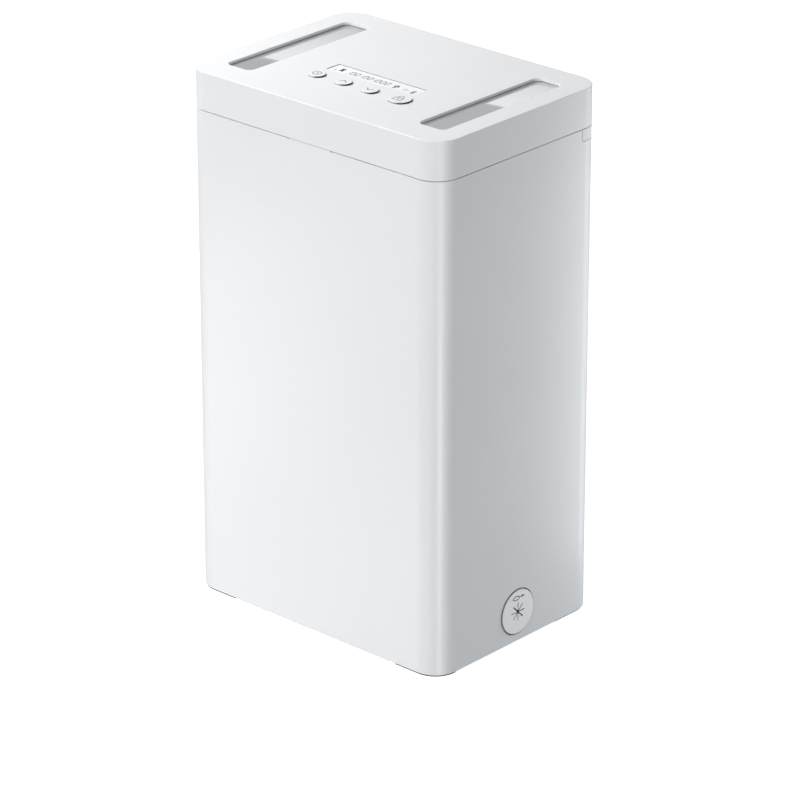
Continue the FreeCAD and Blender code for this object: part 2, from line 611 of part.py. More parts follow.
# display slot and button holes
sk = sketch(lid, "display_slot", off=D.lid_top + 1)
rect(sk, D.disp_x, D.disp_y, D.disp_w, D.disp_h, 0.8)
pocket(lid, sk, "display_cut", D.wall + 2)
sk = sketch(lid, "button_holes", off=D.lid_top + 1)
for x in (D.btn_mode_x, D.btn_up_x, D.btn_down_x):
    circle(sk, x, D.btn_y, D.btn_rad + D.btn_gap)
circle(sk, D.btn_lock_x, D.btn_y, D.lock_rad + D.btn_gap)
f = pocket(lid, sk, "button_cut", D.wall + 2)
f = fillet(lid, f, "button_edge", 0.2, lambda e: on_top(e) and inside(e, -45, 45, -45, -20.5))
# slot for the charging socket in the rear wall
sk = sketch(lid, "socket_slot", "XZ_Plane", off=-half_d - 1)
rect(sk, 0, 335.55, 9.8, 4.0, 1.95)
pocket(lid, sk, "socket_cut", D.wall + 2, rev=True)

# lid base: plate, locating rim, hinge heel, window wells, latch guides
base = new_body("lid_base")
pg = D.wall + D.plate_gap
sk = sketch(base, "plate_outline", off=D.heel_top)
rect(sk, 0, 0, D.box_w - 2 * pg, D.box_d - 2 * pg, D.corner_rad - pg)
pad(base, sk, "plate_pad", D.plate_top - D.heel_top)
rg = D.wall + D.rim_gap
sk = sketch(base, "rim_outline", off=D.rim_low)
rect(sk, 0, 0, D.box_w - 2 * rg, D.box_d - 2 * rg, D.corner_rad - rg)
rect(sk, 0, 0, D.box_w - 2 * rg - 2 * D.rim_w, D.box_d - 2 * rg - 2 * D.rim_w, D.corner_rad - rg - D.rim_w)
pad(base, sk, "rim_pad", D.plate_top - D.rim_low - 1)
# heel: a slab of the box outline, from heel_y to the rear
sk = sketch(base, "heel_outline", off=D.heel_low)
rear_slab(sk, D.box_w, D.box_d, D.corner_rad, D.heel_y)
heel = pad(base, sk, "heel_pad", D.rim_top - D.heel_low)
doc.recompute()
heel = fillet(
    base, heel, "heel_front_round", 1.5,
    lambda e: abs(bb(e).ZMin - 319) < 1e-3 and abs(bb(e).ZMax - 319) < 1e-3 and abs(bb(e).YMin - TABLE["heel_y"]) < 1e-3 and abs(bb(e).YMax - TABLE["heel_y"]) < 1e-3,
)
# behind the rim's line the slab joins the plate, set in so that the lid's seam runs on round it
sk = sketch(base, "heel_neck", off=D.rim_top - 0.5)
rear_slab(sk, D.box_w - 2 * pg, D.box_d - 2 * pg, D.corner_rad - pg, D.heel_y)
pad(base, sk, "heel_neck_pad", D.heel_top - D.rim_top + 1)
# the rear lower edge is round about the hinge axis
sk = sketch(base, "heel_rear_round", "YZ_Plane", off=half_w + 1)
heel_corner(sk, D.axis_y, D.axis_z, D.heel_rad)
pocket(base, sk, "heel_rear_cut", D.box_w + 2)
# slots for the body's knuckles, open to the rear and below
sk = sketch(base, "knuckle_slots", off=D.heel_low - 1)
for sx in (-1, 1):
    rect(sk, D.knuckle_x * sx, D.axis_y + 0.85, D.knuckle_w + 0.6, 10.3)
pocket(base, sk, "knuckle_slot_cut", D.heel_top - D.heel_low + 1, rev=True)
# bores for the hinge pins, blind towards the ends
for side, sx in (("l", -1), ("r", 1)):
    sk = sketch(base, "pin_bore_" + side, "YZ_Plane", off=D.knuckle_x * sx + D.pin_len / 2)
    circle(sk, D.axis_y, D.axis_z, D.pin_rad)
    pocket(base, sk, "pin_bore_cut_" + side, D.pin_len)
# trough in the heel between the hinges
sk = sketch(base, "heel_trough", off=D.plate_top + 1)
rect(sk, 0, 64.9, 86, 13.2, 2.0)
pocket(base, sk, "heel_trough_cut", D.plate_top - D.heel_low - 2.2 + 1)
# window wells: walls that hold the panes up against the lid
well_top = D.lid_top - D.pane_wall - D.seal_t - D.pane_t
sk = sketch(base, "wells", off=D.plate_top - 1)
for sx in (-1, 1):
    rect(sk, D.win_x * sx, D.win_y, D.win_w + 2 * D.pane_edge + 2.4, D.win_l + 2 * D.pane_edge + 2.4, D.win_rad + D.pane_edge + 1.2)
pad(base, sk, "well_pad", well_top - D.plate_top + 1)
sk = sketch(base, "well_holes", off=well_top + 1)
for sx in (-1, 1):
    rect(sk, D.win_x * sx, D.win_y, D.win_w + 1.6, D.win_l + 1.0, D.win_rad + 0.5)
pocket(base, sk, "well_cut", well_top - D.rim_low + 8)
# guides for the bolt carriage, cradle for the motor, seat for the battery holder
sk = sketch(base, "guides", off=D.plate_top - 0.5)
rect(sk, -10.7, -44, 5.0, 28)
rect(sk, 10.7, -44, 5.0, 28)
pad(base, sk, "guide_pad", 333.0 - D.plate_top + 0.5)
sk = sketch(base, "cradle", off=D.plate_top - 0.5)
rect(sk, 26.5, -43, 20, 11.6)
pad(base, sk, "cradle_pad", 330.2 - D.plate_top + 0.5)
# gap in the front rim and slot for the bolt's leg
sk = sketch(base, "rim_gap", off=D.rim_low - 1)
rect(sk, 0, -70, 50, 5)
pocket(base, sk, "rim_gap_cut", D.heel_top - D.rim_low + 1, rev=True)
sk = sketch(base, "bolt_slot", off=D.plate_top + 1)
rect(sk, 0, -55.65, D.bolt_w + 0.8, 11.7, 1.0)
pocket(base, sk, "bolt_slot_cut", 6)
# screw holes: lid screws from below, sunk at the rear; pilots for the latch screws from above
sk = sketch(base, "lid_holes", off=D.plate_top + 1)
for x, y in LID_BOSS:
    circle(sk, x, y, 1.7)
pocket(base, sk, "lid_hole_cut", D.plate_top - D.heel_low + 2)
sk = sketch(base, "lid_sinks", off=D.heel_low - 1)
for x, y in LID_BOSS[2:4] + LID_BOSS[6:]:
    circle(sk, x, y, 3.3)
pocket(base, sk, "lid_sink_cut", D.heel_top - D.heel_low + 1, rev=True)
COVER_SCREW = [(-10.7, -55), (10.7, -55), (-10.7, -33), (10.7, -33)]
CLAMP_SCREW = [(26.5, -52.4), (26.5, -33.6)]
sk = sketch(base, "cover_pilots", off=333.0 + 1)
for x, y in COVER_SCREW:
    circle(sk, x, y, 0.9)
pocket(base, sk, "cover_pilot_cut", 5)
sk = sketch(base, "clamp_pilots", off=D.plate_top + 1)
for x, y in CLAMP_SCREW:
    circle(sk, x, y, 0.9)
pocket(base, sk, "clamp_pilot_cut", 5)

# hinge pins
for label, sx in (("hinge_pin_left", -1), ("hinge_pin_right", 1)):
    pin = rod(label + "_rod", "X", D.knuckle_x * sx - D.pin_len / 2, D.axis_y, D.axis_z, D.pin_rad, D.pin_len)
    node(rounded(label + "_round", pin, 0.3, lambda e: bb(e).XLength < 1e-6), label)

# window panes and their seals
under = D.lid_top - D.wall
pane_seat = D.lid_top - D.pane_wall
for label, sx in (("window_seal_left", -1), ("window_seal_right", 1)):
    b = new_body(label)
    sk = sketch(b, label + "_outline", off=pane_seat - D.seal_t)
    rect(sk, D.win_x * sx, D.win_y, D.win_w + 2 * D.pane_edge, D.win_l + 2 * D.pane_edge, D.win_rad + D.pane_edge)
    rect(sk, D.win_x * sx, D.win_y, D.win_w + 0.3, D.win_l + 0.3, D.win_rad + 0.15)
    pad(b, sk, label + "_pad", D.seal_t)
for label, sx in (("window_pane_left", -1), ("window_pane_right", 1)):
    b = new_body(label)
    sk = sketch(b, label + "_outline", off=pane_seat - D.seal_t - D.pane_t)
    rect(sk, D.win_x * sx, D.win_y, D.win_w + 2 * D.pane_edge, D.win_l + 2 * D.pane_edge, D.win_rad + D.pane_edge)
    f = pad(b, sk, label + "_pad", D.pane_t)
    fillet(b, f, label + "_edge", 0.2, lambda e: bb(e).ZLength < 1e-6, chamfer=True)

# display: lens just below the lid's face with a flange behind it, display module under it
b = new_body("display_lens")
sk = sketch(b, "lens_flange", off=under - 1.0)
rect(sk, D.disp_x, D.disp_y, 76, 14.0, 1.0)
pad(b, sk, "lens_flange_pad", 1.0)
sk = sketch(b, "lens_face", off=under)
rect(sk, D.disp_x, D.disp_y, D.disp_w - D.fit, D.disp_h - D.fit, 0.75)
f = pad(b, sk, "lens_face_pad", D.wall - D.lens_sink)
lens_z = TABLE["lid_top"] - TABLE["lens_sink"]
fillet(b, f, "lens_edge", 0.12, lambda e: abs(bb(e).ZMin - lens_z) < 1e-3 and abs(bb(e).ZMax - lens_z) < 1e-3)
b = new_body("lcd_module")
sk = sketch(b, "lcd_frame", off=D.board_low + D.board_t)
rect(sk, D.disp_x, D.disp_y, 74, 14.0)
pad(b, sk, "lcd_frame_pad", 4.4)
sk = sketch(b, "lcd_window", off=D.board_low + D.board_t + 5)
rect(sk, D.disp_x, D.disp_y, 70, 11.0)
pocket(b, sk, "lcd_window_cut", 1.0)

# main board with its mounting holes
b = new_body("main_board")
sk = sketch(b, "board_outline", off=D.board_low)
rect(sk, 0, D.board_y, 2 * D.board_half, D.board_d, 1.5)
for x, y in BOARD_BOSS:
    circle(sk, x, y, 1.2)
pad(b, sk, "board_pad", D.board_t)

# tact switches, one under each button
board_top = D.board_low + D.board_t
switches = []
BUTTONS = [
    ("button_mode", D.btn_mode_x, D.btn_rad), ("button_up", D.btn_up_x, D.btn_rad),
    ("button_down", D.btn_down_x, D.btn_rad), ("button_lock", D.btn_lock_x, D.lock_rad),
]
for label, x, r in BUTTONS:
    can = block(label + "_switch_can", x - 3, x + 3, D.btn_y - 3, D.btn_y + 3, board_top, board_top + 2.6)
    knob = rod(label + "_switch_knob", "Z", x, D.btn_y, board_top + 2.6, 1.75, 0.7)
    switches.append(fuse(label + "_switch", [can, knob]))
node(group("tact_switch_set", switches), "tact_switches")

# button caps: raised face, retaining flange behind the lid, stem over the switch
for label, x, r in BUTTONS:
    b = new_body(label)
    sk = sketch(b, label + "_stem", off=under - 1.6)
    circle(sk, x, D.btn_y, 2.0)
    pad(b, sk, label + "_stem_pad", 0.5)
    sk = sketch(b, label + "_flange", off=under - 1.1)
    circle(sk, x, D.btn_y, r + 1.1)
    pad(b, sk, label + "_flange_pad", 1.05)
    sk = sketch(b, label + "_cap", off=under - 0.2)
    circle(sk, x, D.btn_y, r)
    f = pad(b, sk, label + "_cap_pad", D.wall + 0.2 + D.btn_rise)
    top = TABLE["lid_top"] + TABLE["btn_rise"]
    fillet(b, f, label + "_edge", 0.3, lambda e: abs(bb(e).ZMin - top) < 1e-3)


# ---------------------------------------------------------------- latch drive
def prism(points, height, origin, u, v, w):
    """A solid from a closed outline in the plane of u and v, drawn along w."""
    pts = [origin + u * a + v * b for a, b in points]
    wire = Part.makePolygon(pts + [pts[0]])
    return Part.Face(wire).extrude(w * height)


mod = TABLE["gear_mod"]
gy, gz = TABLE["gear_axis_y"], TABLE["gear_axis_z"]
teeth = 10
pitch_r = mod * teeth / 2
pitch = math.pi * mod
play = 0.06  # taken off each tooth flank
# rack: straight-sided teeth on the carriage, a space centred under the pinion's axis
rack_line = gz - pitch_r
tan20 = math.tan(math.radians(20))
rack_root, rack_tip = rack_line - 1.25 * mod, rack_line + 0.9 * mod
bw = TABLE["bolt_w"]
leg_y0, leg_y1 = -55.4, -50.4
toe_y = -61.4
profile = [(-30.0, 329.45), (-30.0, rack_root)]
n0, n1 = -4, 5
for k in range(n1, n0 - 1, -1):
    c = gy + (k + 0.5) * pitch
    half = pitch / 4 - play
    a, b = half + (rack_line - rack_root) * tan20, half - (rack_tip - rack_line) * tan20
    profile += [(c + a, rack_root), (c + b, rack_tip), (c - b, rack_tip), (c - a, rack_root)]
profile += [(-56.5, rack_root), (-56.5, 329.45)]
carriage = prism(profile, bw + 3, V(-(bw + 3) / 2, 0, 0), V(0, 1, 0), V(0, 0, 1), V(1, 0, 0))
leg = prism(
    [(leg_y1, 330.5), (leg_y1, 322.8), (leg_y0, 322.8), (leg_y0, 330.5)],
    bw, V(-bw / 2, 0, 0), V(0, 1, 0), V(0, 0, 1), V(1, 0, 0),
)
toe = prism(
    [(leg_y1, 322.8), (leg_y1, 319.4), (toe_y + 0.8, 319.4), (toe_y, 320.4), (toe_y, 322.8)],
    bw, V(-bw / 2, 0, 0), V(0, 1, 0), V(0, 0, 1), V(1, 0, 0),
)
# the steel toe is screwed under the foot of the moulded rack carriage
carriage = carriage.fuse(leg).removeSplitter()
mid = (leg_y0 + leg_y1) / 2
for x in (-bw / 4 - 0.4, bw / 4 + 0.4):
    toe = toe.cut(Part.makeCylinder(1.05, 5.0, V(x, mid, 319.0), V(0, 0, 1))).cut(Part.makeCylinder(1.85, 1.2, V(x, mid, 319.2), V(0, 0, 1)))
    carriage = carriage.cut(Part.makeCylinder(0.8, 5.2, V(x, mid, 322.6), V(0, 0, 1)))
straight("latch_bolt", toe)
straight("bolt_carriage", carriage)


def involute_tooth(module, n, flank_play, steps=6):
    """Outline of a spur gear with involute flanks, a tooth centred on angle 0."""
    rp = module * n / 2
    rb = rp * math.cos(math.radians(20))
    ra, rf = rp + 0.9 * module, rp - 1.25 * module
    inv = lambda t: math.tan(t) - t
    half_pitch = math.pi / (2 * n) - flank_play / rp
    pts = []
    for k in range(n):
        c = 2 * math.pi * k / n
        flank = []
        r0 = max(rb, rf)
        for i in range(steps + 1):
            r = r0 + (ra - r0) * i / steps
            t = math.acos(min(1.0, rb / r))
            flank.append((r, half_pitch + inv(math.radians(20)) - inv(t)))
        # below the base circle the flank leans in, clear of the rack's corners
        foot = (rf, flank[0][1] * 0.78)
        left = [(c - foot[1], foot[0])] + [(c - a, r) for r, a in flank]
        right = [(c + a, r) for r, a in reversed(flank)] + [(c + foot[1], foot[0])]
        pts += left + right
    return [(r * math.sin(a), r * math.cos(a)) for a, r in pts]


gear_pts = involute_tooth(mod, teeth, play)
gear_pts = [(y, -z) for y, z in gear_pts]  # a tooth points straight down into the rack's space
gear = prism(gear_pts, 5.0, V(-2.5, gy, gz), V(0, 1, 0), V(0, 0, 1), V(1, 0, 0))
hub = Part.makeCylinder(2.1, 2.0, V(2.5, gy, gz), V(1, 0, 0))
gear = gear.fuse(hub).cut(Part.makeCylinder(1.0, 12, V(-4, gy, gz), V(1, 0, 0))).removeSplitter()
straight("latch_pinion", gear)
shaft = rod("shaft_rod", "X", -2.5, D.gear_axis_y, D.gear_axis_z, 1.0, 19.5)
node(rounded("shaft_round", shaft, 0.2, lambda e: bb(e).XLength < 1e-6 and bb(e).XMax < 0), "motor_shaft")

# gear motor: gearbox, flat-sided can, brush cap
box_ = block("motor_gearbox", 15, 24, D.gear_axis_y - 6, D.gear_axis_y + 6, D.gear_axis_z - 5, D.gear_axis_z + 5)
nose = rod("motor_nose", "X", 14.2, D.gear_axis_y, D.gear_axis_z, 2.0, 1.0)
can = rod("motor_can_round", "X", 24, D.gear_axis_y, D.gear_axis_z, 6.0, 13.0)
slab = block("motor_can_flat", 24, 37, D.gear_axis_y - 6, D.gear_axis_y + 6, D.gear_axis_z - 5, D.gear_axis_z + 5)
can2 = doc.addObject("Part::Common", "motor_can")
can2.Base, can2.Tool = can, slab
cap = block("motor_cap", 37, 39, D.gear_axis_y - 5, D.gear_axis_y + 5, D.gear_axis_z - 4.4, D.gear_axis_z + 4.4)
bore = rod("motor_bore", "X", 14.0, D.gear_axis_y, D.gear_axis_z, 1.05, 3.6)
node(cut("motor_whole", fuse("motor_fuse", [box_, nose, can2, cap]), bore), "gear_motor")

# motor clamp: a strap over the can with two ears
cy0, cy1 = D.gear_axis_y - 6, D.gear_axis_y + 6
strap = fuse("clamp_fuse", [
    block("clamp_top", 22.5, 30.5, cy0 - 0.9, cy1 + 0.9, D.gear_axis_z + 5.05, D.gear_axis_z + 5.85),
    block("clamp_front", 22.5, 30.5, cy0 - 0.9, cy0 - 0.1, D.plate_top, D.gear_axis_z + 5.85),
    block("clamp_rear", 22.5, 30.5, cy1 + 0.1, cy1 + 0.9, D.plate_top, D.gear_axis_z + 5.85),
    block("clamp_ear_front", 22.5, 30.5, cy0 - 6, cy0 - 0.1, D.plate_top, D.plate_top + 0.8),
    block("clamp_ear_rear", 22.5, 30.5, cy1 + 0.1, cy1 + 6, D.plate_top, D.plate_top + 0.8),
])
strap = cut("clamp_cut", strap, fuse("clamp_holes", [rod("clamp_hole_%d" % i, "Z", x, y, 328, 1.2, 4) for i, (x, y) in enumerate(CLAMP_SCREW)]))
node(strap, "motor_clamp")

# latch cover: holds the carriage down, open over the pinion
cover = block("cover_plate", -13.2, 13.2, -58, -30, 333.0, 334.2)
tools = [rod("cover_hole_%d" % i, "Z", x, y, 332, 1.2, 4) for i, (x, y) in enumerate(COVER_SCREW)]
tools.append(block("cover_window", -3.4, 5.2, D.gear_axis_y - 4.3, D.gear_axis_y + 4.3, 332, 336))
node(cut("cover_cut", cover, fuse("cover_tools", tools)), "latch_cover")

# screws
bolt_set = [screw("toe_screw_%d" % i, "Z", x, (leg_y0 + leg_y1) / 2, 320.4, 0.8, 6.4, 1.7, 0.9, 1) for i, x in enumerate((-bw / 4 - 0.4, bw / 4 + 0.4))]
node(group("bolt_screw_set", bolt_set), "bolt_screws")
latch_set = [screw("cover_screw_%d" % i, "Z", x, y, 334.2, 0.9, 4.2, 1.7, 1.1, -1) for i, (x, y) in enumerate(COVER_SCREW)]
latch_set += [screw("clamp_screw_%d" % i, "Z", x, y, D.plate_top + 0.8, 0.9, 2.8, 1.7, 1.1, -1) for i, (x, y) in enumerate(CLAMP_SCREW)]
node(group("latch_screw_set", latch_set), "latch_screws")
node(group("lid_screw_set", [screw("lid_screw_%d" % i, "Z", x, y, D.heel_top, 1.25, 11.0, 2.7, 1.8, 1) for i, (x, y) in enumerate(LID_BOSS)]), "lid_screws")
board_set = [screw("board_screw_%d" % i, "Z", x, y, D.board_low, 1.0, 5.0, 2.0, 1.3, 1) for i, (x, y) in enumerate(BOARD_BOSS)]
board_set += [screw("charge_screw_%d" % i, "Z", x, y, 337.3, 1.0, 5.0, 2.0, 1.3, 1) for i, (x, y) in enumerate(CHARGE_BOSS)]
node(group("board_screw_set", board_set), "board_screws")

# rechargeable cell across the lid, in a holder
bat_y, bat_z, bat_r, bat_l = 32.0, 338.4, 7.1, 50.0
cell = fuse("cell_fuse", [rod("cell_can", "X", -bat_l / 2, bat_y, bat_z, bat_r, bat_l), rod("cell_nub", "X", bat_l / 2, bat_y, bat_z, 2.8, 1.0)])
node(cell, "battery_cell")
tray = block("holder_block", -29, 29, bat_y - 8.6, bat_y + 8.6, D.plate_top, 342.0)
hollow = rod("holder_hollow", "X", -26.3, bat_y, bat_z, bat_r + 0.25, 52.6)
opening = block("holder_open", -26.3, 26.3, bat_y - bat_r - 0.25, bat_y + bat_r + 0.25, bat_z, 345)
waist = block("holder_waist", -20, 20, bat_y - 10, bat_y + 10, 337, 345)
node(cut("holder_cut", tray, fuse("holder_tools", [hollow, opening, waist])), "battery_holder")

# charging board and its socket behind the rear wall
b = new_body("charge_board")
sk = sketch(b, "charge_outline", off=337.3)
rect(sk, 0, 63.2, 28, 16.4, 1.0)
for x, y in CHARGE_BOSS:
    circle(sk, x, y, 1.2)
pad(b, sk, "charge_pad", 1.2)
b = new_body("charge_socket")
sk = sketch(b, "socket_outline", "XZ_Plane", off=-72.6)
rect(sk, 0, 335.55, 9.0, 3.4, 1.6)
pad(b, sk, "socket_pad", 8.0)
sk = sketch(b, "socket_mouth", "XZ_Plane", off=-73.6)
rect(sk, 0, 335.55, 8.4, 2.7, 1.3)
pocket(b, sk, "socket_mouth_cut", 7.4, rev=True)
sk = sketch(b, "socket_tongue", "XZ_Plane", off=-71.8)
rect(sk, 0, 335.55, 6.7, 0.7)
pad(b, sk, "socket_tongue_pad", 6.5)


# ---------------------------------------------------------------- internal leads
def lead(points, r):
    """A round lead: straight runs joined by tangent arcs as large as the runs allow."""
    pts = [V(*p) for p in points]
    edges, here, radii = [], pts[0], []
    for i in range(1, len(pts) - 1):
        a, b, c = pts[i - 1], pts[i], pts[i + 1]
        u, w = (a - b).normalize(), (c - b).normalize()
        turn = math.pi - math.acos(max(-1.0, min(1.0, u.dot(w))))
        t = 0.45 * min((a - b).Length, (c - b).Length)
        rad = t / math.tan(turn / 2)
        radii.append(round(rad, 1))
        p, q = b + u * t, b + w * t
        mid_dir = (u + w).normalize()
        centre = b + mid_dir * (rad / math.cos(turn / 2))
        m = centre - mid_dir * rad
        edges.append(Part.LineSegment(here, p).toShape())
        edges.append(Part.Arc(p, m, q).toShape())
        here = q
    edges.append(Part.LineSegment(here, pts[-1]).toShape())
    wire = Part.Wire(edges)
    start = pts[1] - pts[0]
    prof = Part.Wire([Part.Circle(pts[0], start, r).toShape()])
    shell = wire.makePipeShell([prof], True, False)
    print("lead", len(points), "radii", radii, "length %.1f" % wire.Length, "volume ratio %.4f" % (shell.Volume / (math.pi * r * r * wire.Length)))
    return shell


straight("battery_leads", lead([(29.0, 30, 340), (35, 30, 340), (40.5, 26, 340.6), (42.5, 18, 341.6), (42.0, 9, 342.6), (41.5, 4, 342.8), (41.5, -1, 342.8)], 0.8))
straight("motor_leads", lead([(39.0, -43, 336), (44, -43, 336), (50, -41, 337), (54.5, -37, 339), (57, -32, 341.3), (57, -27.5, 342.6), (54.5, -25, 342.8), (50, -25, 342.8)], 0.7))
straight("charge_leads", lead([(-14.0, 60, 337.9), (-19, 60, 337.9), (-26, 57, 338.4), (-32, 50, 339.4), (-34, 40, 340.6), (-33, 29, 341.6), (-30, 18, 342.4), (-28.5, 7, 342.8), (-28.5, -1, 342.8)], 0.8))

# ================================================================ write the pieces
doc.recompute()
bad = [o.Name + " " + str(o.State) for o in doc.Objects if any(s in ("Invalid", "Error") for s in o.State)]
if bad:
    raise RuntimeError("failed objects: " + "; ".join(bad))
os.makedirs("parts", exist_ok=True)
labels = [o.Label for o in PARTS]
if len(set(labels)) != len(labels):
    raise RuntimeError("two pieces share a name")
for old in os.listdir("parts"):
    if old.endswith(".step") and old[:-5] not in labels:
        os.remove(os.path.join("parts", old))
for o in PARTS:
    s = o.Shape
    if s.isNull() or not s.isValid() or not s.Solids:
        raise RuntimeError("bad shape: " + o.Label)
for o in PARTS:
    o.Shape.exportStep("parts/%s.step" % o.Label)
    b = o.Shape.BoundBox
    print("%-20s solids %d  volume %.0f  x %.1f..%.1f y %.1f..%.1f z %.2f..%.2f" % (o.Label, len(o.Shape.Solids), o.Shape.Volume, b.XMin, b.XMax, b.YMin, b.YMax, b.ZMin, b.ZMax))
print(len(PARTS), "pieces")
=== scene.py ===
import math
import bpy
import bmesh
from mathutils import Matrix, Vector


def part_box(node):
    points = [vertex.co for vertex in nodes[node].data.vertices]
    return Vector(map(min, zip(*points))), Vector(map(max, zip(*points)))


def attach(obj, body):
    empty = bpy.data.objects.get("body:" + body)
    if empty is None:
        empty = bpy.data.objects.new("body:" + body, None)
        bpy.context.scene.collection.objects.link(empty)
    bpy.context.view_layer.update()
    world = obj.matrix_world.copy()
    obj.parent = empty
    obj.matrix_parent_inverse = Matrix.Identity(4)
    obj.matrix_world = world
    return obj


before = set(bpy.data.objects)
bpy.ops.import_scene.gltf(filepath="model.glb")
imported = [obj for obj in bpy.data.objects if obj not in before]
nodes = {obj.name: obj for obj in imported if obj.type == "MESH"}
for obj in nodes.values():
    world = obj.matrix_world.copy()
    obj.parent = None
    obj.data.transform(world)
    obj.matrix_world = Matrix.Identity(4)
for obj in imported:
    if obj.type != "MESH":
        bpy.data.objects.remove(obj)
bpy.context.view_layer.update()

scene = bpy.context.scene
MM = 0.001


# ------------------------------------------------------------------ material helpers
class Mat:
    """A Principled material with short calls for its noise, bump and masks. Coordinates are the row frame's, in metres."""

    def __init__(self, name, rough=0.5, metal=0.0, ior=1.46, coat=0.0, coat_rough=0.05, spec=0.5, sheen=0.0, aniso=0.0):
        self.m = bpy.data.materials.new(name)
        self.m.use_nodes = True
        self.t = self.m.node_tree
        self.n = self.t.nodes
        self.n.clear()
        self.out = self.n.new("ShaderNodeOutputMaterial")
        self.b = self.n.new("ShaderNodeBsdfPrincipled")
        self.link(self.b.outputs[0], self.out.inputs["Surface"])
        s = self.b.inputs
        s["Roughness"].default_value = rough
        s["Metallic"].default_value = metal
        s["IOR"].default_value = ior
        s["Coat Weight"].default_value = coat
        s["Coat Roughness"].default_value = coat_rough
        s["Specular IOR Level"].default_value = spec
        s["Sheen Weight"].default_value = sheen
        s["Anisotropic"].default_value = aniso
        self.coord = self.n.new("ShaderNodeTexCoord").outputs["Object"]

    def link(self, a, b):
        self.t.links.new(a, b)

    def scaled(self, x=1.0, y=1.0, z=1.0, turn=(0, 0, 0)):
        n = self.n.new("ShaderNodeMapping")
        n.inputs["Scale"].default_value = (x, y, z)
        n.inputs["Rotation"].default_value = turn
        self.link(self.coord, n.inputs["Vector"])
        return n.outputs[0]

    def noise(self, scale, detail=3.0, rough=0.55, vec=None, distort=0.0):
        n = self.n.new("ShaderNodeTexNoise")
        n.inputs["Scale"].default_value = scale
        n.inputs["Detail"].default_value = detail
        n.inputs["Roughness"].default_value = rough
        n.inputs["Distortion"].default_value = distort
        self.link(vec or self.coord, n.inputs["Vector"])
        return n.outputs["Fac"]

    def cells(self, scale, vec=None, feature="F1", out="Distance"):
        n = self.n.new("ShaderNodeTexVoronoi")
        n.feature = feature
        n.inputs["Scale"].default_value = scale
        self.link(vec or self.coord, n.inputs["Vector"])
        return n.outputs[out]

    def math(self, op, a, b=None, c=None, clamp=False):
        n = self.n.new("ShaderNodeMath")
        n.operation = op
        n.use_clamp = clamp
        for i, v in enumerate((a, b, c)):
            if v is None:
                continue
            if isinstance(v, (int, float)):
                n.inputs[i].default_value = v
            else:
                self.link(v, n.inputs[i])
        return n.outputs[0]

    def axis(self, which, vec=None):
        n = self.n.new("ShaderNodeSeparateXYZ")
        self.link(vec or self.coord, n.inputs[0])
        return n.outputs["XYZ".index(which)]

    def ramp(self, fac, stops, ease="LINEAR"):
        n = self.n.new("ShaderNodeValToRGB")
        n.color_ramp.interpolation = ease
        e = n.color_ramp.elements
        while len(e) < len(stops):
            e.new(0.5)
        for i, (p, col) in enumerate(stops):
            e[i].position = p
            e[i].color = (*col, 1) if len(col) == 3 else col
        self.link(fac, n.inputs[0])
        return n.outputs[0]

    def between(self, fac, lo, hi, to_lo, to_hi):
        n = self.n.new("ShaderNodeMapRange")
        n.inputs["From Min"].default_value = lo
        n.inputs["From Max"].default_value = hi
        n.inputs["To Min"].default_value = to_lo
        n.inputs["To Max"].default_value = to_hi
        self.link(fac, n.inputs["Value"])
        return n.outputs[0]

    def mix(self, fac, a, b, mode="MIX"):
        n = self.n.new("ShaderNodeMix")
        n.data_type = "RGBA"
        n.blend_type = mode
        if isinstance(fac, (int, float)):
            n.inputs[0].default_value = fac
        else:
            self.link(fac, n.inputs[0])
        for sock, v in ((n.inputs[6], a), (n.inputs[7], b)):
            if isinstance(v, (tuple, list)):
                sock.default_value = (*v, 1)
            else:
                self.link(v, sock)
        return n.outputs[2]

    def color(self, sock):
        self.link(sock, self.b.inputs["Base Color"])

    def rough(self, sock):
        self.link(sock, self.b.inputs["Roughness"])

    def bump(self, height, distance, strength=1.0, after=None):
        n = self.n.new("ShaderNodeBump")
        n.inputs["Strength"].default_value = strength
        n.inputs["Distance"].default_value = distance
        self.link(height, n.inputs["Height"])
        if after is not None:
            self.link(after, n.inputs["Normal"])
        self.link(n.outputs[0], self.b.inputs["Normal"])
        return n.outputs[0]


def tint(c, k):
    return tuple(min(1.0, x * k) for x in c)


def moulded(name, col, rough=0.5, spread=0.05, grain=1500.0, depth=0.00003, mottle=0.012, spec=0.5, coat=0.0, pits=0.5):
    """White moulded plastic: spark-eroded grain in bump and roughness, and slow drifts of tone."""
    m = Mat(name, rough, spec=spec, coat=coat)
    fine = m.noise(grain, 2.0, 0.6)
    cell = m.cells(grain * 0.62)
    slow = m.noise(9.0, 2.0, 0.5)
    speck = m.noise(grain * 0.45, 3.0, 0.6)
    tone = m.math("ADD", m.math("MULTIPLY", slow, 0.6), m.math("MULTIPLY", speck, 0.4))
    m.color(m.ramp(tone, [(0.30, tint(col, 1 - mottle)), (0.70, tint(col, 1 + mottle))]))
    m.rough(m.between(m.math("ADD", m.math("MULTIPLY", fine, 0.5), m.math("MULTIPLY", slow, 0.5)), 0.3, 0.7, rough - spread, rough + spread))
    h = m.math("ADD", m.math("MULTIPLY", fine, 1 - pits), m.math("MULTIPLY", cell, pits))
    m.bump(h, depth)
    return m


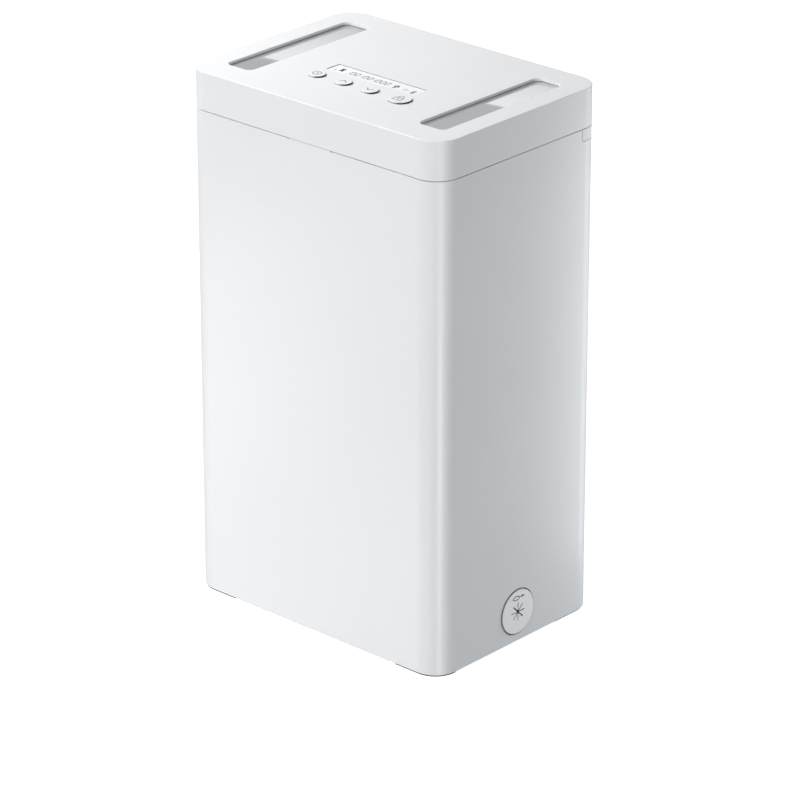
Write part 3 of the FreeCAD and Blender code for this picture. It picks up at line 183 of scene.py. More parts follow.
def metal(name, col, rough=0.3, lay="x", scale=900.0, depth=0.000006, spangle=False, aniso=0.0):
    """Steel or brass with a drawn or turned lay, or with the spangle of zinc plating."""
    m = Mat(name, rough, metal=1.0, aniso=aniso)
    stretch = {"x": (0.04, 1, 1), "y": (1, 0.04, 1), "z": (1, 1, 0.04), "none": (1, 1, 1)}[lay]
    lines = m.noise(scale, 3.0, 0.6, m.scaled(*stretch))
    if spangle:
        c = m.cells(420.0, out="Color")
        s = m.n.new("ShaderNodeRGBToBW")
        m.link(c, s.inputs[0])
        tone = m.math("ADD", m.math("MULTIPLY", s.outputs[0], 0.6), m.math("MULTIPLY", lines, 0.4))
    else:
        tone = lines
    m.color(m.ramp(tone, [(0.25, tint(col, 0.86)), (0.75, tint(col, 1.1))]))
    m.rough(m.between(tone, 0.25, 0.75, rough * 0.75, rough * 1.3))
    m.bump(lines, depth)
    return m.m


mats = {}

# body: textured white ABS; the lid is the same resin with a finer, satin skin
WHITE = (0.815, 0.828, 0.842)
bm_ = moulded("body_plastic_grain", WHITE, 0.34, 0.04, 1150.0, 0.00004, 0.016)
lo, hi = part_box("cable_grommet")
dy = bm_.math("SUBTRACT", bm_.axis("Y"), (lo.y + hi.y) / 2)
dz = bm_.math("SUBTRACT", bm_.axis("Z"), (lo.z + hi.z) / 2)
reach = bm_.math("SQRT", bm_.math("ADD", bm_.math("MULTIPLY", dy, dy), bm_.math("MULTIPLY", dz, dz)))
# painted shade: the groove in the wall around the grommet is painted dark grey, with a noise in its tone, where shade
# falls
gap = bm_.math("MULTIPLY", bm_.math("LESS_THAN", reach, 0.01578), bm_.between(bm_.axis("X"), 0.10465, 0.10495, 1.0, 0.0))
gap = bm_.math("MULTIPLY", gap, bm_.math("GREATER_THAN", bm_.axis("X"), 0.1030))
base = bm_.b.inputs["Base Color"].links[0].from_socket
groove_painted_shade = bm_.ramp(bm_.noise(500.0, 3.0, 0.6), [(0.3, (0.27, 0.275, 0.28)), (0.7, (0.34, 0.345, 0.35))])
bm_.color(bm_.mix(gap, base, groove_painted_shade))
mats["body"] = bm_.m
lm_ = moulded("lid_plastic_satin", WHITE, 0.38, 0.05, 1900.0, 0.000014, 0.010)
ln = lm_.n.new("ShaderNodeTexCoord").outputs["Normal"]
lean = lm_.axis("Z", ln)
# painted shade: the rounded top edges of the lid are mixed 7% towards dark grey to dull their highlight
high = lm_.math("GREATER_THAN", lm_.axis("Z"), 0.3512)
edge = lm_.math("MULTIPLY", lm_.between(lean, 0.25, 0.45, 0.0, 1.0), lm_.between(lean, 0.93, 0.99, 1.0, 0.0))
edge = lm_.math("MULTIPLY", lm_.math("MULTIPLY", edge, high), 0.07)
# painted shade: the walls of the display opening are painted dark grey
lo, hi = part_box("display_lens")
near_x = lm_.math("LESS_THAN", lm_.math("ABSOLUTE", lm_.math("SUBTRACT", lm_.axis("X"), (lo.x + hi.x) / 2)), 0.0372)
near_y = lm_.math("LESS_THAN", lm_.math("ABSOLUTE", lm_.math("SUBTRACT", lm_.axis("Y"), -0.014)), 0.0072)
side = lm_.math("MULTIPLY", lm_.between(lean, 0.5, 0.9, 1.0, 0.0), lm_.math("MULTIPLY", high, lm_.math("MULTIPLY", near_x, near_y)))
base = lm_.b.inputs["Base Color"].links[0].from_socket
painted_shade_grey = lm_.ramp(lm_.noise(500.0, 3.0, 0.6), [(0.3, (0.30, 0.305, 0.31)), (0.7, (0.36, 0.365, 0.37))])
lm_.color(lm_.mix(side, lm_.mix(edge, base, painted_shade_grey), painted_shade_grey))
mats["lid"] = lm_.m
mats["inner"] = moulded("inner_plastic_satin", (0.80, 0.812, 0.826), 0.46, 0.05, 1700.0, 0.00002, 0.012).m

# button caps: satin faces; their side walls are painted grey as painted shade, mid grey on the left and darkening to
# near black on the right
bm_ = moulded("button_plastic_satin", (0.83, 0.842, 0.855), 0.36, 0.04, 2200.0, 0.00001, 0.008)
bn = bm_.n.new("ShaderNodeTexCoord").outputs["Normal"]
side = bm_.between(bm_.axis("Z", bn), 0.25, 0.5, 1.0, 0.0)
above = bm_.math("GREATER_THAN", bm_.axis("Z"), 0.3500)
side = bm_.math("MULTIPLY", side, above)
turn = bm_.between(bm_.axis("X", bn), -1.0, 1.0, 0.0, 1.0)
painted_side_shade = bm_.ramp(turn, [(0.20, (0.52, 0.53, 0.54)), (0.58, (0.46, 0.47, 0.48)), (0.80, (0.085, 0.088, 0.09)), (0.97, (0.025, 0.026, 0.027))])
base = bm_.b.inputs["Base Color"].links[0].from_socket
bm_.color(bm_.mix(side, base, painted_side_shade))
mats["button"] = bm_.m

# silicone grommet: soft sheen, powdery film, slightly greyer than the plastic
m = Mat("grommet_silicone_soft", 0.55, ior=1.41, sheen=0.8, spec=0.5)
a, b = m.noise(700.0, 4.0, 0.6), m.noise(60.0, 2.0, 0.5)
tone = m.math("ADD", m.math("MULTIPLY", a, 0.5), m.math("MULTIPLY", b, 0.5))
m.color(m.ramp(tone, [(0.3, (0.925, 0.94, 0.95)), (0.7, (0.95, 0.96, 0.968))]))
lo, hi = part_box("cable_grommet")
gn = m.n.new("ShaderNodeTexCoord").outputs["Normal"]
dy = m.math("SUBTRACT", m.axis("Y"), (lo.y + hi.y) / 2)
dz = m.math("SUBTRACT", m.axis("Z"), (lo.z + hi.z) / 2)
reach = m.math("SQRT", m.math("ADD", m.math("MULTIPLY", dy, dy), m.math("MULTIPLY", dz, dz)))
# painted shade: the walls of the slits are painted near black, and a grey ring of painted shade runs round the disc's
# outer edge
inside = m.math("LESS_THAN", reach, 0.0095)
cut = m.math("MULTIPLY", inside, m.between(m.axis("X", gn), 0.4, 0.6, 1.0, 0.0))
rim = m.between(reach, 0.01462, 0.01478, 0.0, 1.0)
face = m.b.inputs["Base Color"].links[0].from_socket
painted_slit_shade = m.ramp(tone, [(0.3, (0.03, 0.031, 0.032)), (0.7, (0.05, 0.051, 0.052))])
shade = m.ramp(tone, [(0.3, (0.22, 0.225, 0.23)), (0.7, (0.28, 0.285, 0.29))])
m.color(m.mix(cut, m.mix(rim, face, shade), painted_slit_shade))
m.rough(m.between(tone, 0.3, 0.7, 0.48, 0.62))
m.bump(a, 0.00002)
mats["grommet"] = m.m

# feet: black moulded rubber with a fine tread of ribs and a dusty tone
m = Mat("foot_rubber_matte", 0.8, ior=1.5, spec=0.3)
a = m.noise(900.0, 4.0, 0.65)
ribs = m.math("SINE", m.math("MULTIPLY", m.math("ADD", m.axis("X"), m.axis("Y")), 2 * math.pi / 0.0016))
m.color(m.ramp(a, [(0.3, (0.018, 0.018, 0.02)), (0.75, (0.055, 0.055, 0.058))]))
m.rough(m.between(a, 0.3, 0.7, 0.7, 0.92))
m.bump(m.math("ADD", m.math("MULTIPLY", ribs, 0.5), a), 0.00006)
mats["foot"] = m.m

# smoked opal acrylic of the windows: polished skin over a cloudy grey body; the left pane is painted darker than the
# right as painted shade
m = Mat("pane_acrylic_smoked", 0.012, ior=1.49)
a, b = m.noise(28.0, 3.0, 0.5), m.noise(420.0, 2.0, 0.5)
cloud = m.math("ADD", m.math("MULTIPLY", a, 0.8), m.math("MULTIPLY", b, 0.2))
smoke_right = m.ramp(cloud, [(0.3, (0.445, 0.456, 0.466)), (0.7, (0.475, 0.486, 0.496))])
smoke_left_painted_darker = m.ramp(cloud, [(0.3, (0.374, 0.384, 0.392)), (0.7, (0.400, 0.410, 0.418))])
m.color(m.mix(m.between(m.axis("X"), -0.01, 0.01, 0.0, 1.0), smoke_left_painted_darker, smoke_right))
m.rough(m.between(b, 0.3, 0.7, 0.008, 0.016))
m.bump(a, 0.0000004)
mats["pane"] = m.m

# seal: grey closed-cell foam
m = Mat("seal_foam_grey", 0.9, spec=0.25)
a = m.cells(2600.0)
m.color(m.ramp(a, [(0.1, (0.26, 0.265, 0.27)), (0.6, (0.36, 0.365, 0.37))]))
m.rough(m.between(a, 0.0, 0.7, 0.8, 0.97))
m.bump(a, 0.00008)
mats["seal"] = m.m

# display lens: milky white acrylic with a faint glow painted into it that brightens it; no lamp stands behind it
m = Mat("lens_acrylic_milky", 0.22, ior=1.49)
a, b = m.noise(35.0, 2.0, 0.5), m.noise(1600.0, 2.0, 0.5)
m.color(m.ramp(m.math("ADD", m.math("MULTIPLY", a, 0.7), m.math("MULTIPLY", b, 0.3)), [(0.3, (0.90, 0.91, 0.92)), (0.7, (0.945, 0.95, 0.955))]))
m.rough(m.between(b, 0.3, 0.7, 0.18, 0.27))
m.bump(b, 0.000002)
painted_glow = m.between(m.noise(22.0, 1.0, 0.5), 0.3, 0.7, 0.03, 0.06)
m.b.inputs["Emission Color"].default_value = (0.94, 0.97, 1.0, 1)
m.link(painted_glow, m.b.inputs["Emission Strength"])
mats["lens"] = m.m

# LCD module: dark glass in a bright tin frame
m = Mat("lcd_glass_dark", 0.08, ior=1.5)
lo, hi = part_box("lcd_module")
a = m.noise(300.0, 3.0, 0.5)
cx, cy = (lo.x + hi.x) / 2, (lo.y + hi.y) / 2
ex = m.math("GREATER_THAN", m.math("ABSOLUTE", m.math("SUBTRACT", m.axis("X"), cx)), (hi.x - lo.x) / 2 - 0.0022)
ey = m.math("GREATER_THAN", m.math("ABSOLUTE", m.math("SUBTRACT", m.axis("Y"), cy)), (hi.y - lo.y) / 2 - 0.0016)
edge = m.math("MAXIMUM", ex, ey)
glass = m.ramp(a, [(0.3, (0.05, 0.06, 0.055)), (0.7, (0.09, 0.10, 0.095))])
tin = m.ramp(m.noise(900.0, 3.0, 0.6, m.scaled(0.05, 1, 1)), [(0.3, (0.42, 0.43, 0.44)), (0.7, (0.6, 0.61, 0.62))])
m.color(m.mix(edge, glass, tin))
m.rough(m.between(a, 0.3, 0.7, 0.06, 0.2))
m.link(edge, m.b.inputs["Metallic"])
m.bump(a, 0.000002)
mats["lcd"] = m.m

# circuit boards: green solder mask over routed tracks, tinned pads, glass-fibre edge
def board(name, node):
    m = Mat(name, 0.35, ior=1.5, coat=0.3, coat_rough=0.2)
    lo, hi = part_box(node)
    v = m.scaled(1, 1, 1)
    x, y, z = m.axis("X", v), m.axis("Y", v), m.axis("Z", v)
    bend = m.math("MULTIPLY", m.noise(70.0, 1.0, 0.4), 0.004)
    rx = m.math("PINGPONG", m.math("ADD", x, bend), 0.0011)
    ry = m.math("PINGPONG", m.math("ADD", y, bend), 0.0013)
    zone = m.math("GREATER_THAN", m.noise(55.0, 0.0, 0.0), 0.5)
    track = m.math("LESS_THAN", m.math("ADD", m.math("MULTIPLY", rx, zone), m.math("MULTIPLY", ry, m.math("SUBTRACT", 1.0, zone))), 0.00028)
    pad = m.math("LESS_THAN", m.cells(260.0), 0.14)
    fibre = m.noise(2600.0, 2.0, 0.5)
    mask = m.ramp(fibre, [(0.3, (0.008, 0.075, 0.03)), (0.7, (0.012, 0.10, 0.042))])
    over = m.ramp(fibre, [(0.3, (0.015, 0.15, 0.06)), (0.7, (0.022, 0.19, 0.08))])
    tinned = m.ramp(fibre, [(0.3, (0.62, 0.60, 0.54)), (0.7, (0.8, 0.78, 0.72))])
    face = m.math("MAXIMUM", m.math("GREATER_THAN", z, hi.z - 0.0001), m.math("LESS_THAN", z, lo.z + 0.0001))
    pads = m.math("MULTIPLY", pad, face)
    edge_col = m.ramp(fibre, [(0.3, (0.33, 0.30, 0.16)), (0.7, (0.46, 0.42, 0.25))])
    m.color(m.mix(face, edge_col, m.mix(pads, m.mix(track, mask, over), tinned)))
    m.link(m.math("MULTIPLY", pads, 0.9), m.b.inputs["Metallic"])
    m.rough(m.between(fibre, 0.3, 0.7, 0.28, 0.42))
    m.bump(m.math("ADD", track, m.math("MULTIPLY", pads, 1.4)), 0.00004)
    return m.m


mats["main_board"] = board("main_board_mask", "main_board")
mats["charge_board"] = board("charge_board_mask", "charge_board")

# metals
mats["switch"] = metal("switch_tin", (0.62, 0.63, 0.64), 0.32, "x", 1500.0)
mats["zinc"] = metal("zinc_plated_steel", (0.62, 0.635, 0.655), 0.34, "none", 1300.0, 0.000008, spangle=True)
mats["pin"] = metal("ground_pin_steel", (0.55, 0.56, 0.58), 0.2, "x", 1800.0, 0.000004, aniso=0.4)
mats["bolt"] = metal("machined_bolt_steel", (0.50, 0.51, 0.53), 0.28, "y", 1200.0, 0.000006, aniso=0.3)
mats["brass"] = metal("cut_brass", (0.74, 0.56, 0.25), 0.26, "x", 1500.0, 0.000006)
mats["motor"] = metal("motor_can_steel", (0.60, 0.61, 0.63), 0.27, "x", 900.0, 0.000006, aniso=0.3)
mats["bracket"] = moulded("bracket_plastic_black", (0.028, 0.028, 0.03), 0.48, 0.08, 1500.0, 0.00003, 0.18).m

# cell: shrink wrap, a white insulating ring and bright end caps
m = Mat("cell_shrink_wrap", 0.2, ior=1.5, coat=0.4)
lo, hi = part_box("battery_cell")
a = m.noise(120.0, 3.0, 0.6, m.scaled(0.25, 1, 1))
wrap = m.ramp(a, [(0.3, (0.02, 0.085, 0.26)), (0.7, (0.032, 0.12, 0.34))])
cap = m.ramp(m.noise(1500.0, 2.0, 0.5), [(0.3, (0.52, 0.53, 0.54)), (0.7, (0.7, 0.71, 0.72))])
ring = m.ramp(a, [(0.3, (0.70, 0.70, 0.68)), (0.7, (0.8, 0.8, 0.78))])
end = m.math("GREATER_THAN", m.axis("X"), hi.x - 0.0011)
near = m.math("MAXIMUM", m.math("GREATER_THAN", m.axis("X"), hi.x - 0.0024), m.math("LESS_THAN", m.axis("X"), lo.x + 0.0003))
m.color(m.mix(end, m.mix(near, wrap, ring), cap))
m.link(end, m.b.inputs["Metallic"])
m.rough(m.between(a, 0.3, 0.7, 0.16, 0.3))
m.bump(a, 0.00005)
mats["cell"] = m.m


def insulation(name, col):
    m = Mat(name, 0.42, ior=1.5)
    a = m.noise(800.0, 3.0, 0.6)
    b = m.noise(60.0, 2.0, 0.5)
    m.color(m.ramp(m.math("ADD", m.math("MULTIPLY", a, 0.4), m.math("MULTIPLY", b, 0.6)), [(0.3, tint(col, 0.8)), (0.7, tint(col, 1.15))]))
    m.rough(m.between(a, 0.3, 0.7, 0.34, 0.5))
    m.bump(a, 0.00002)
    return m.m


mats["lead_red"] = insulation("lead_insulation_red", (0.42, 0.03, 0.028))
mats["lead_grey"] = insulation("lead_insulation_grey", (0.20, 0.205, 0.21))
mats["lead_black"] = insulation("lead_insulation_black", (0.035, 0.035, 0.038))


def ink(name, col, rough=0.55):
    """Printed or liquid-crystal marks: even tone with a slight edge-to-edge drift."""
    m = Mat(name, rough, ior=1.5)
    a, b = m.noise(900.0, 3.0, 0.6), m.noise(120.0, 2.0, 0.5)
    m.color(m.ramp(m.math("ADD", m.math("MULTIPLY", a, 0.5), m.math("MULTIPLY", b, 0.5)), [(0.3, tint(col, 0.88)), (0.7, tint(col, 1.1))]))
    m.rough(m.between(a, 0.3, 0.7, rough - 0.08, rough + 0.08))
    m.bump(a, 0.000004)
    return m.m


mats["ink_dark"] = ink("ink_dark_grey", (0.016, 0.017, 0.018))
mats["ink_mid"] = ink("ink_mid_grey", (0.075, 0.08, 0.085))
mats["ink_pale"] = ink("ink_pale_grey", (0.33, 0.34, 0.35))
mats["ink_cell"] = ink("ink_cell_grey", (0.19, 0.195, 0.20))
mats["ink_icon"] = ink("ink_icon_grey", (0.085, 0.088, 0.09))
mats["ink_glyph"] = ink("ink_glyph_grey", (0.19, 0.195, 0.20))

give = {
    "body_shell": "body", "cable_grommet": "grommet",
    "foot_front_left": "foot", "foot_front_right": "foot", "foot_rear_left": "foot", "foot_rear_right": "foot",
    "strike_plate": "zinc", "strike_screws": "zinc", "lid_top_shell": "lid", "lid_base": "inner",
    "hinge_pin_left": "pin", "hinge_pin_right": "pin", "window_seal_left": "seal", "window_seal_right": "seal",
    "window_pane_left": "pane", "window_pane_right": "pane", "display_lens": "lens", "lcd_module": "lcd",
    "main_board": "main_board", "tact_switches": "switch",
    "button_mode": "button", "button_up": "button", "button_down": "button", "button_lock": "button",
    "latch_bolt": "bolt", "bolt_carriage": "bracket", "bolt_screws": "zinc", "latch_pinion": "brass", "motor_shaft": "pin", "gear_motor": "motor", "motor_clamp": "zinc",
    "latch_cover": "bracket", "latch_screws": "zinc", "lid_screws": "zinc", "board_screws": "zinc",
    "battery_cell": "cell", "battery_holder": "bracket", "charge_board": "charge_board", "charge_socket": "switch",
    "battery_leads": "lead_red", "motor_leads": "lead_black", "charge_leads": "lead_grey",
}
for name, key in give.items():
    if name not in nodes:
        continue
    me = nodes[name].data
    me.materials.clear()
    me.materials.append(mats[key])


# ------------------------------------------------------------------ thin marks: display segments, glyphs, icons
def stroke(points, width, closed=False, cap=0.0):
    """Mitred band along a line of points, as quads."""
    pts = [Vector((p[0], p[1])) for p in points]
    n = len(pts)
    left, right = [], []
    for i, p in enumerate(pts):
        a = pts[i - 1] if (i > 0 or closed) else None
        b = pts[(i + 1) % n] if (i < n - 1 or closed) else None
        d1 = (p - a).normalized() if a is not None else None
        d2 = (b - p).normalized() if b is not None else None
        if d1 is None or d2 is None:
            d = d2 if d1 is None else d1
            off = Vector((-d.y, d.x)) * width / 2
            if cap:
                p = p + d * (cap if d1 is not None else -cap)
        else:
            t = (d1 + d2).normalized()
            nrm = Vector((-t.y, t.x))
            k = max(0.35, nrm.dot(Vector((-d1.y, d1.x))))
            off = nrm * (width / 2 / k)
        left.append(p + off)
        right.append(p - off)
    out = []
    for i in range(n if closed else n - 1):
        j = (i + 1) % n
        out.append([tuple(left[i]), tuple(right[i]), tuple(right[j]), tuple(left[j])])
    return out


def arc(cx, cy, r, a0, a1, n=24, ry=None):
    ry = r if ry is None else ry
    return [(cx + r * math.cos(math.radians(a0 + (a1 - a0) * i / n)), cy + ry * math.sin(math.radians(a0 + (a1 - a0) * i / n))) for i in range(n + 1)]


def ring(cx, cy, r, width, n=32, ry=None):
    return stroke(arc(cx, cy, r, 0, 360, n, ry)[:-1], width, closed=True)


def slab(x0, y0, x1, y1, r=0.0, n=5):
    if r <= 0:
        return [[(x0, y0), (x1, y0), (x1, y1), (x0, y1)]]
    p = []
    for cx, cy, a in ((x1 - r, y0 + r, -90), (x1 - r, y1 - r, 0), (x0 + r, y1 - r, 90), (x0 + r, y0 + r, 180)):
        p += arc(cx, cy, r, a, a + 90, n)
    return [p]


def disc(cx, cy, r, n=28):
    return [arc(cx, cy, r, 0, 360, n)[:-1]]


def marks(name, polys, place, height, material, body, edge=0.04):
    """Closed low prisms from flat outlines in millimetres. Quads that share an edge become one solid. place() maps (u, v, h) to the row frame."""
    bm = bmesh.new()
    seen = {}

    def vert(p):
        k = (round(p[0], 4), round(p[1], 4))
        if k not in seen:
            seen[k] = bm.verts.new((k[0], k[1], 0.0))
        return seen[k]

    for poly in polys:
        vs = [vert(p) for p in poly]
        if len(set(vs)) == len(vs):
            try:
                bm.faces.new(vs)
            except ValueError:
                pass
    bmesh.ops.recalc_face_normals(bm, faces=bm.faces)
    for f in list(bm.faces):
        if f.normal.z < 0:
            f.normal_flip()
    base = list(bm.faces)
    ext = bmesh.ops.extrude_face_region(bm, geom=base, use_keep_orig=True)
    top = [v for v in ext["geom"] if isinstance(v, bmesh.types.BMVert)]
    for v in top:
        v.co.z += height
    bmesh.ops.recalc_face_normals(bm, faces=bm.faces)
    if edge:
        rim = [e for e in bm.edges if all(v.co.z > height * 0.5 for v in e.verts) and e.is_manifold and e.calc_face_angle(0) > 1.0]
        bmesh.ops.bevel(bm, geom=rim, offset=min(edge, height * 0.45), segments=2, affect="EDGES", profile=0.6)
    for v in bm.verts:
        v.co = Vector(place(v.co.x, v.co.y, v.co.z)) * MM
    bmesh.ops.recalc_face_normals(bm, faces=bm.faces)
    me = bpy.data.meshes.new(name)
    bm.to_mesh(me)
    bm.free()
    o = bpy.data.objects.new(name, me)
    scene.collection.objects.link(o)
    me.materials.append(material)
    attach(o, body)
    return o


LENS_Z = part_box("display_lens")[1].z / MM
CAP_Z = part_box("button_up")[1].z / MM
LEAN = math.tan(math.radians(7))


def on_lens(x, y, h):
    return (x, y, LENS_Z - 0.01 + h)


def on_cap(x, y, h):
    return (x, y, CAP_Z - 0.01 + h)


# seven-segment zeros, 00:00:000
def zero(x, y, w=3.15, h=4.7, t=0.62, gap=0.08):
    """One digit with its lower left corner at x, y: six separate bars with pointed ends, leaning to the right."""
    out = []
    xs, ys = (t / 2, w - t / 2), (t / 2, h / 2, h - t / 2)

    def bar(a, b):
        (ax, ay), (bx, by) = a, b
        d = Vector((bx - ax, by - ay)).normalized()
        n = Vector((-d.y, d.x))
        p, q = Vector(a) + d * gap, Vector(b) - d * gap
        k = t / 2
        ring6 = [p, p + d * k - n * k, q - d * k - n * k, q, q - d * k + n * k, p + d * k + n * k]
        out.append([(x + v.x + LEAN * v.y, y + v.y) for v in ring6])

    bar((xs[0], ys[0]), (xs[1], ys[0]))
    bar((xs[0], ys[2]), (xs[1], ys[2]))
    for i in (0, 1):
        bar((xs[i], ys[0]), (xs[i], ys[1]))
        bar((xs[i], ys[1]), (xs[i], ys[2]))
    return out


digits = []
DIGIT_Y, PITCH = -17.0, 3.95
for x in (-21.7, -21.7 + PITCH, -10.9, -10.9 + PITCH, -0.7, PITCH - 0.7, 2 * PITCH - 0.7):
    digits += zero(x, DIGIT_Y)
for cx in (-12.5, -1.6):
    for cy in (DIGIT_Y + 1.3, DIGIT_Y + 3.4):
        digits += slab(cx - 0.3 + LEAN * (cy - DIGIT_Y), cy - 0.3, cx + 0.3 + LEAN * (cy - DIGIT_Y), cy + 0.3, 0.12)
marks("display_digits", digits, on_lens, 0.06, mats["ink_mid"], "lid", 0.015)

# solid icons of the display: hourglass on the left, key on the right
icons = []
hx, hy = -28.5, -14.4
icons += slab(hx - 1.6, hy + 1.75, hx + 1.6, hy + 2.2, 0.15) + slab(hx - 1.6, hy - 2.2, hx + 1.6, hy - 1.75, 0.15)
icons += [[(hx - 1.5, hy + 1.65), (hx + 1.5, hy + 1.65), (hx + 0.95, hy + 0.06), (hx - 0.95, hy + 0.06)][::-1]]
icons += [[(hx - 1.5, hy - 1.65), (hx + 1.5, hy - 1.65), (hx + 0.95, hy - 0.06), (hx - 0.95, hy - 0.06)]]
kx, ky = 16.3, -14.3
icons += ring(kx, ky, 1.2, 1.0, 28)
icons += slab(kx - 0.36, ky - 3.6, kx + 0.36, ky - 1.8, 0.1)
icons += slab(kx - 1.3, ky - 3.55, kx - 0.42, ky - 2.95, 0.08) + slab(kx - 1.1, ky - 2.6, kx - 0.42, ky - 2.1, 0.08)
marks("display_icons_dark", icons, on_lens, 0.06, mats["ink_dark"], "lid", 0.015)

# outline icons of the display: bell dot, minus mark, clock, battery
pale = ring(-32.8, -16.6, 0.85, 0.3, 20) + slab(-33.05, -16.85, -32.55, -16.35, 0.1)
pale += slab(-23.4, -17.95, -21.9, -17.5, 0.12)
pale += ring(24.4, -15.4, 1.55, 0.32, 28) + stroke([(24.4, -14.35), (24.4, -15.4), (25.2, -15.9)], 0.28)
marks("display_icons_pale", pale, on_lens, 0.06, mats["ink_pale"], "lid", 0.012)
cell = stroke([(29.75, -17.9), (31.65, -17.9), (31.65, -13.55), (29.75, -13.55)], 0.34, closed=True) + slab(30.2, -13.3, 31.2, -12.85, 0.1)
cell += slab(30.1, -17.55, 31.3, -16.65, 0.08) + slab(30.1, -16.4, 31.3, -15.5, 0.08) + slab(30.1, -15.25, 31.3, -14.35, 0.08)
marks("display_battery_icon", cell, on_lens, 0.06, mats["ink_cell"], "lid", 0.012)

# button glyphs: clock, chevrons, padlock, each about the middle of its cap
def middle(node):
    lo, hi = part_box(node)
    return (lo.x + hi.x) / 2 / MM, (lo.y + hi.y) / 2 / MM


gx, gy = middle("button_mode")
gx, gy = gx - 0.5, gy + 0.5
g = ring(gx, gy, 2.75, 0.55, 36) + stroke([(gx, gy + 1.75), (gx, gy), (gx + 1.35, gy - 0.95)], 0.52)
marks("glyph_mode", g, on_cap, 0.05, mats["ink_glyph"], "button_mode", 0.015)
gx, gy = middle("button_up")
gx, gy = gx - 0.3, gy + 0.5
g = stroke([(gx - 2.5, gy - 1.2), (gx, gy + 1.3), (gx + 2.5, gy - 1.2)], 0.6)
marks("glyph_up", g, on_cap, 0.05, mats["ink_glyph"], "button_up", 0.015)
gx, gy = middle("button_down")
gx, gy = gx - 1.0, gy + 0.2
g = stroke([(gx - 2.5, gy + 1.2), (gx, gy - 1.3), (gx + 2.5, gy + 1.2)], 0.6)
marks("glyph_down", g, on_cap, 0.05, mats["ink_glyph"], "button_down", 0.015)
lx, BY = middle("button_lock")
lx, BY = lx - 0.8, BY + 0.3
g = stroke([(lx - 3.0, BY - 3.4), (lx + 3.0, BY - 3.4), (lx + 3.0, BY + 0.65), (lx - 3.0, BY + 0.65)], 0.55, closed=True)
g += stroke([(lx - 1.8, BY + 0.93)] + arc(lx, BY + 1.9, 1.8, 180, 0, 16) + [(lx + 1.8, BY + 0.93)], 0.52)
g += disc(lx, BY - 1.1, 0.6, 16) + slab(lx - 0.24, BY - 2.55, lx + 0.24, BY - 1.74, 0.05)
marks("glyph_lock", g, on_cap, 0.05, mats["ink_glyph"], "button_lock", 0.015)

# cable icon on the grommet's face: a loop with its plug
FACE_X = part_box("cable_grommet")[1].x / MM


def on_face(u, v, h):
    return (FACE_X - 0.01 + h, u, v)


g = stroke([(-1.8 + 2.9 * math.cos(t) - 0.0 * math.sin(t), 31.0 + 1.3 * math.sin(t) - 0.05 * math.cos(t)) for t in [2 * math.pi * i / 36 for i in range(36)]], 0.55, closed=True)
g += stroke([(1.42, 31.15), (3.1, 31.15)], 0.5) + slab(3.15, 30.55, 5.0, 31.75, 0.25) + slab(5.05, 30.76, 5.9, 31.0, 0.05) + slab(5.05, 31.3, 5.9, 31.54, 0.05)
marks("grommet_icon", g, on_face, 0.05, mats["ink_icon"], "base", 0.015)

# ------------------------------------------------------------------ floor
bpy.ops.mesh.primitive_grid_add(x_subdivisions=24, y_subdivisions=24, size=14.0, location=(0, 0, 0))
floor = bpy.context.object
floor.name = "floor"
f = Mat("floor_paper", 0.85, spec=0.2)
a = f.noise(3.0, 2.0, 0.5)
f.color(f.ramp(a, [(0.3, (0.83, 0.835, 0.84)), (0.7, (0.85, 0.855, 0.86))]))
path = f.n.new("ShaderNodeLightPath")
f.b.inputs["Emission Color"].default_value = (1, 1, 1, 1)
f.link(f.math("MULTIPLY", path.outputs["Is Camera Ray"], f.between(a, 0.3, 0.7, 0.66, 0.68)), f.b.inputs["Emission Strength"])
floor.data.materials.append(f.m)
# the floor takes shadows and shows white, and the soft fill from below reaches the object past it
floor.visible_diffuse = floor.visible_glossy = floor.visible_transmission = floor.visible_shadow = False

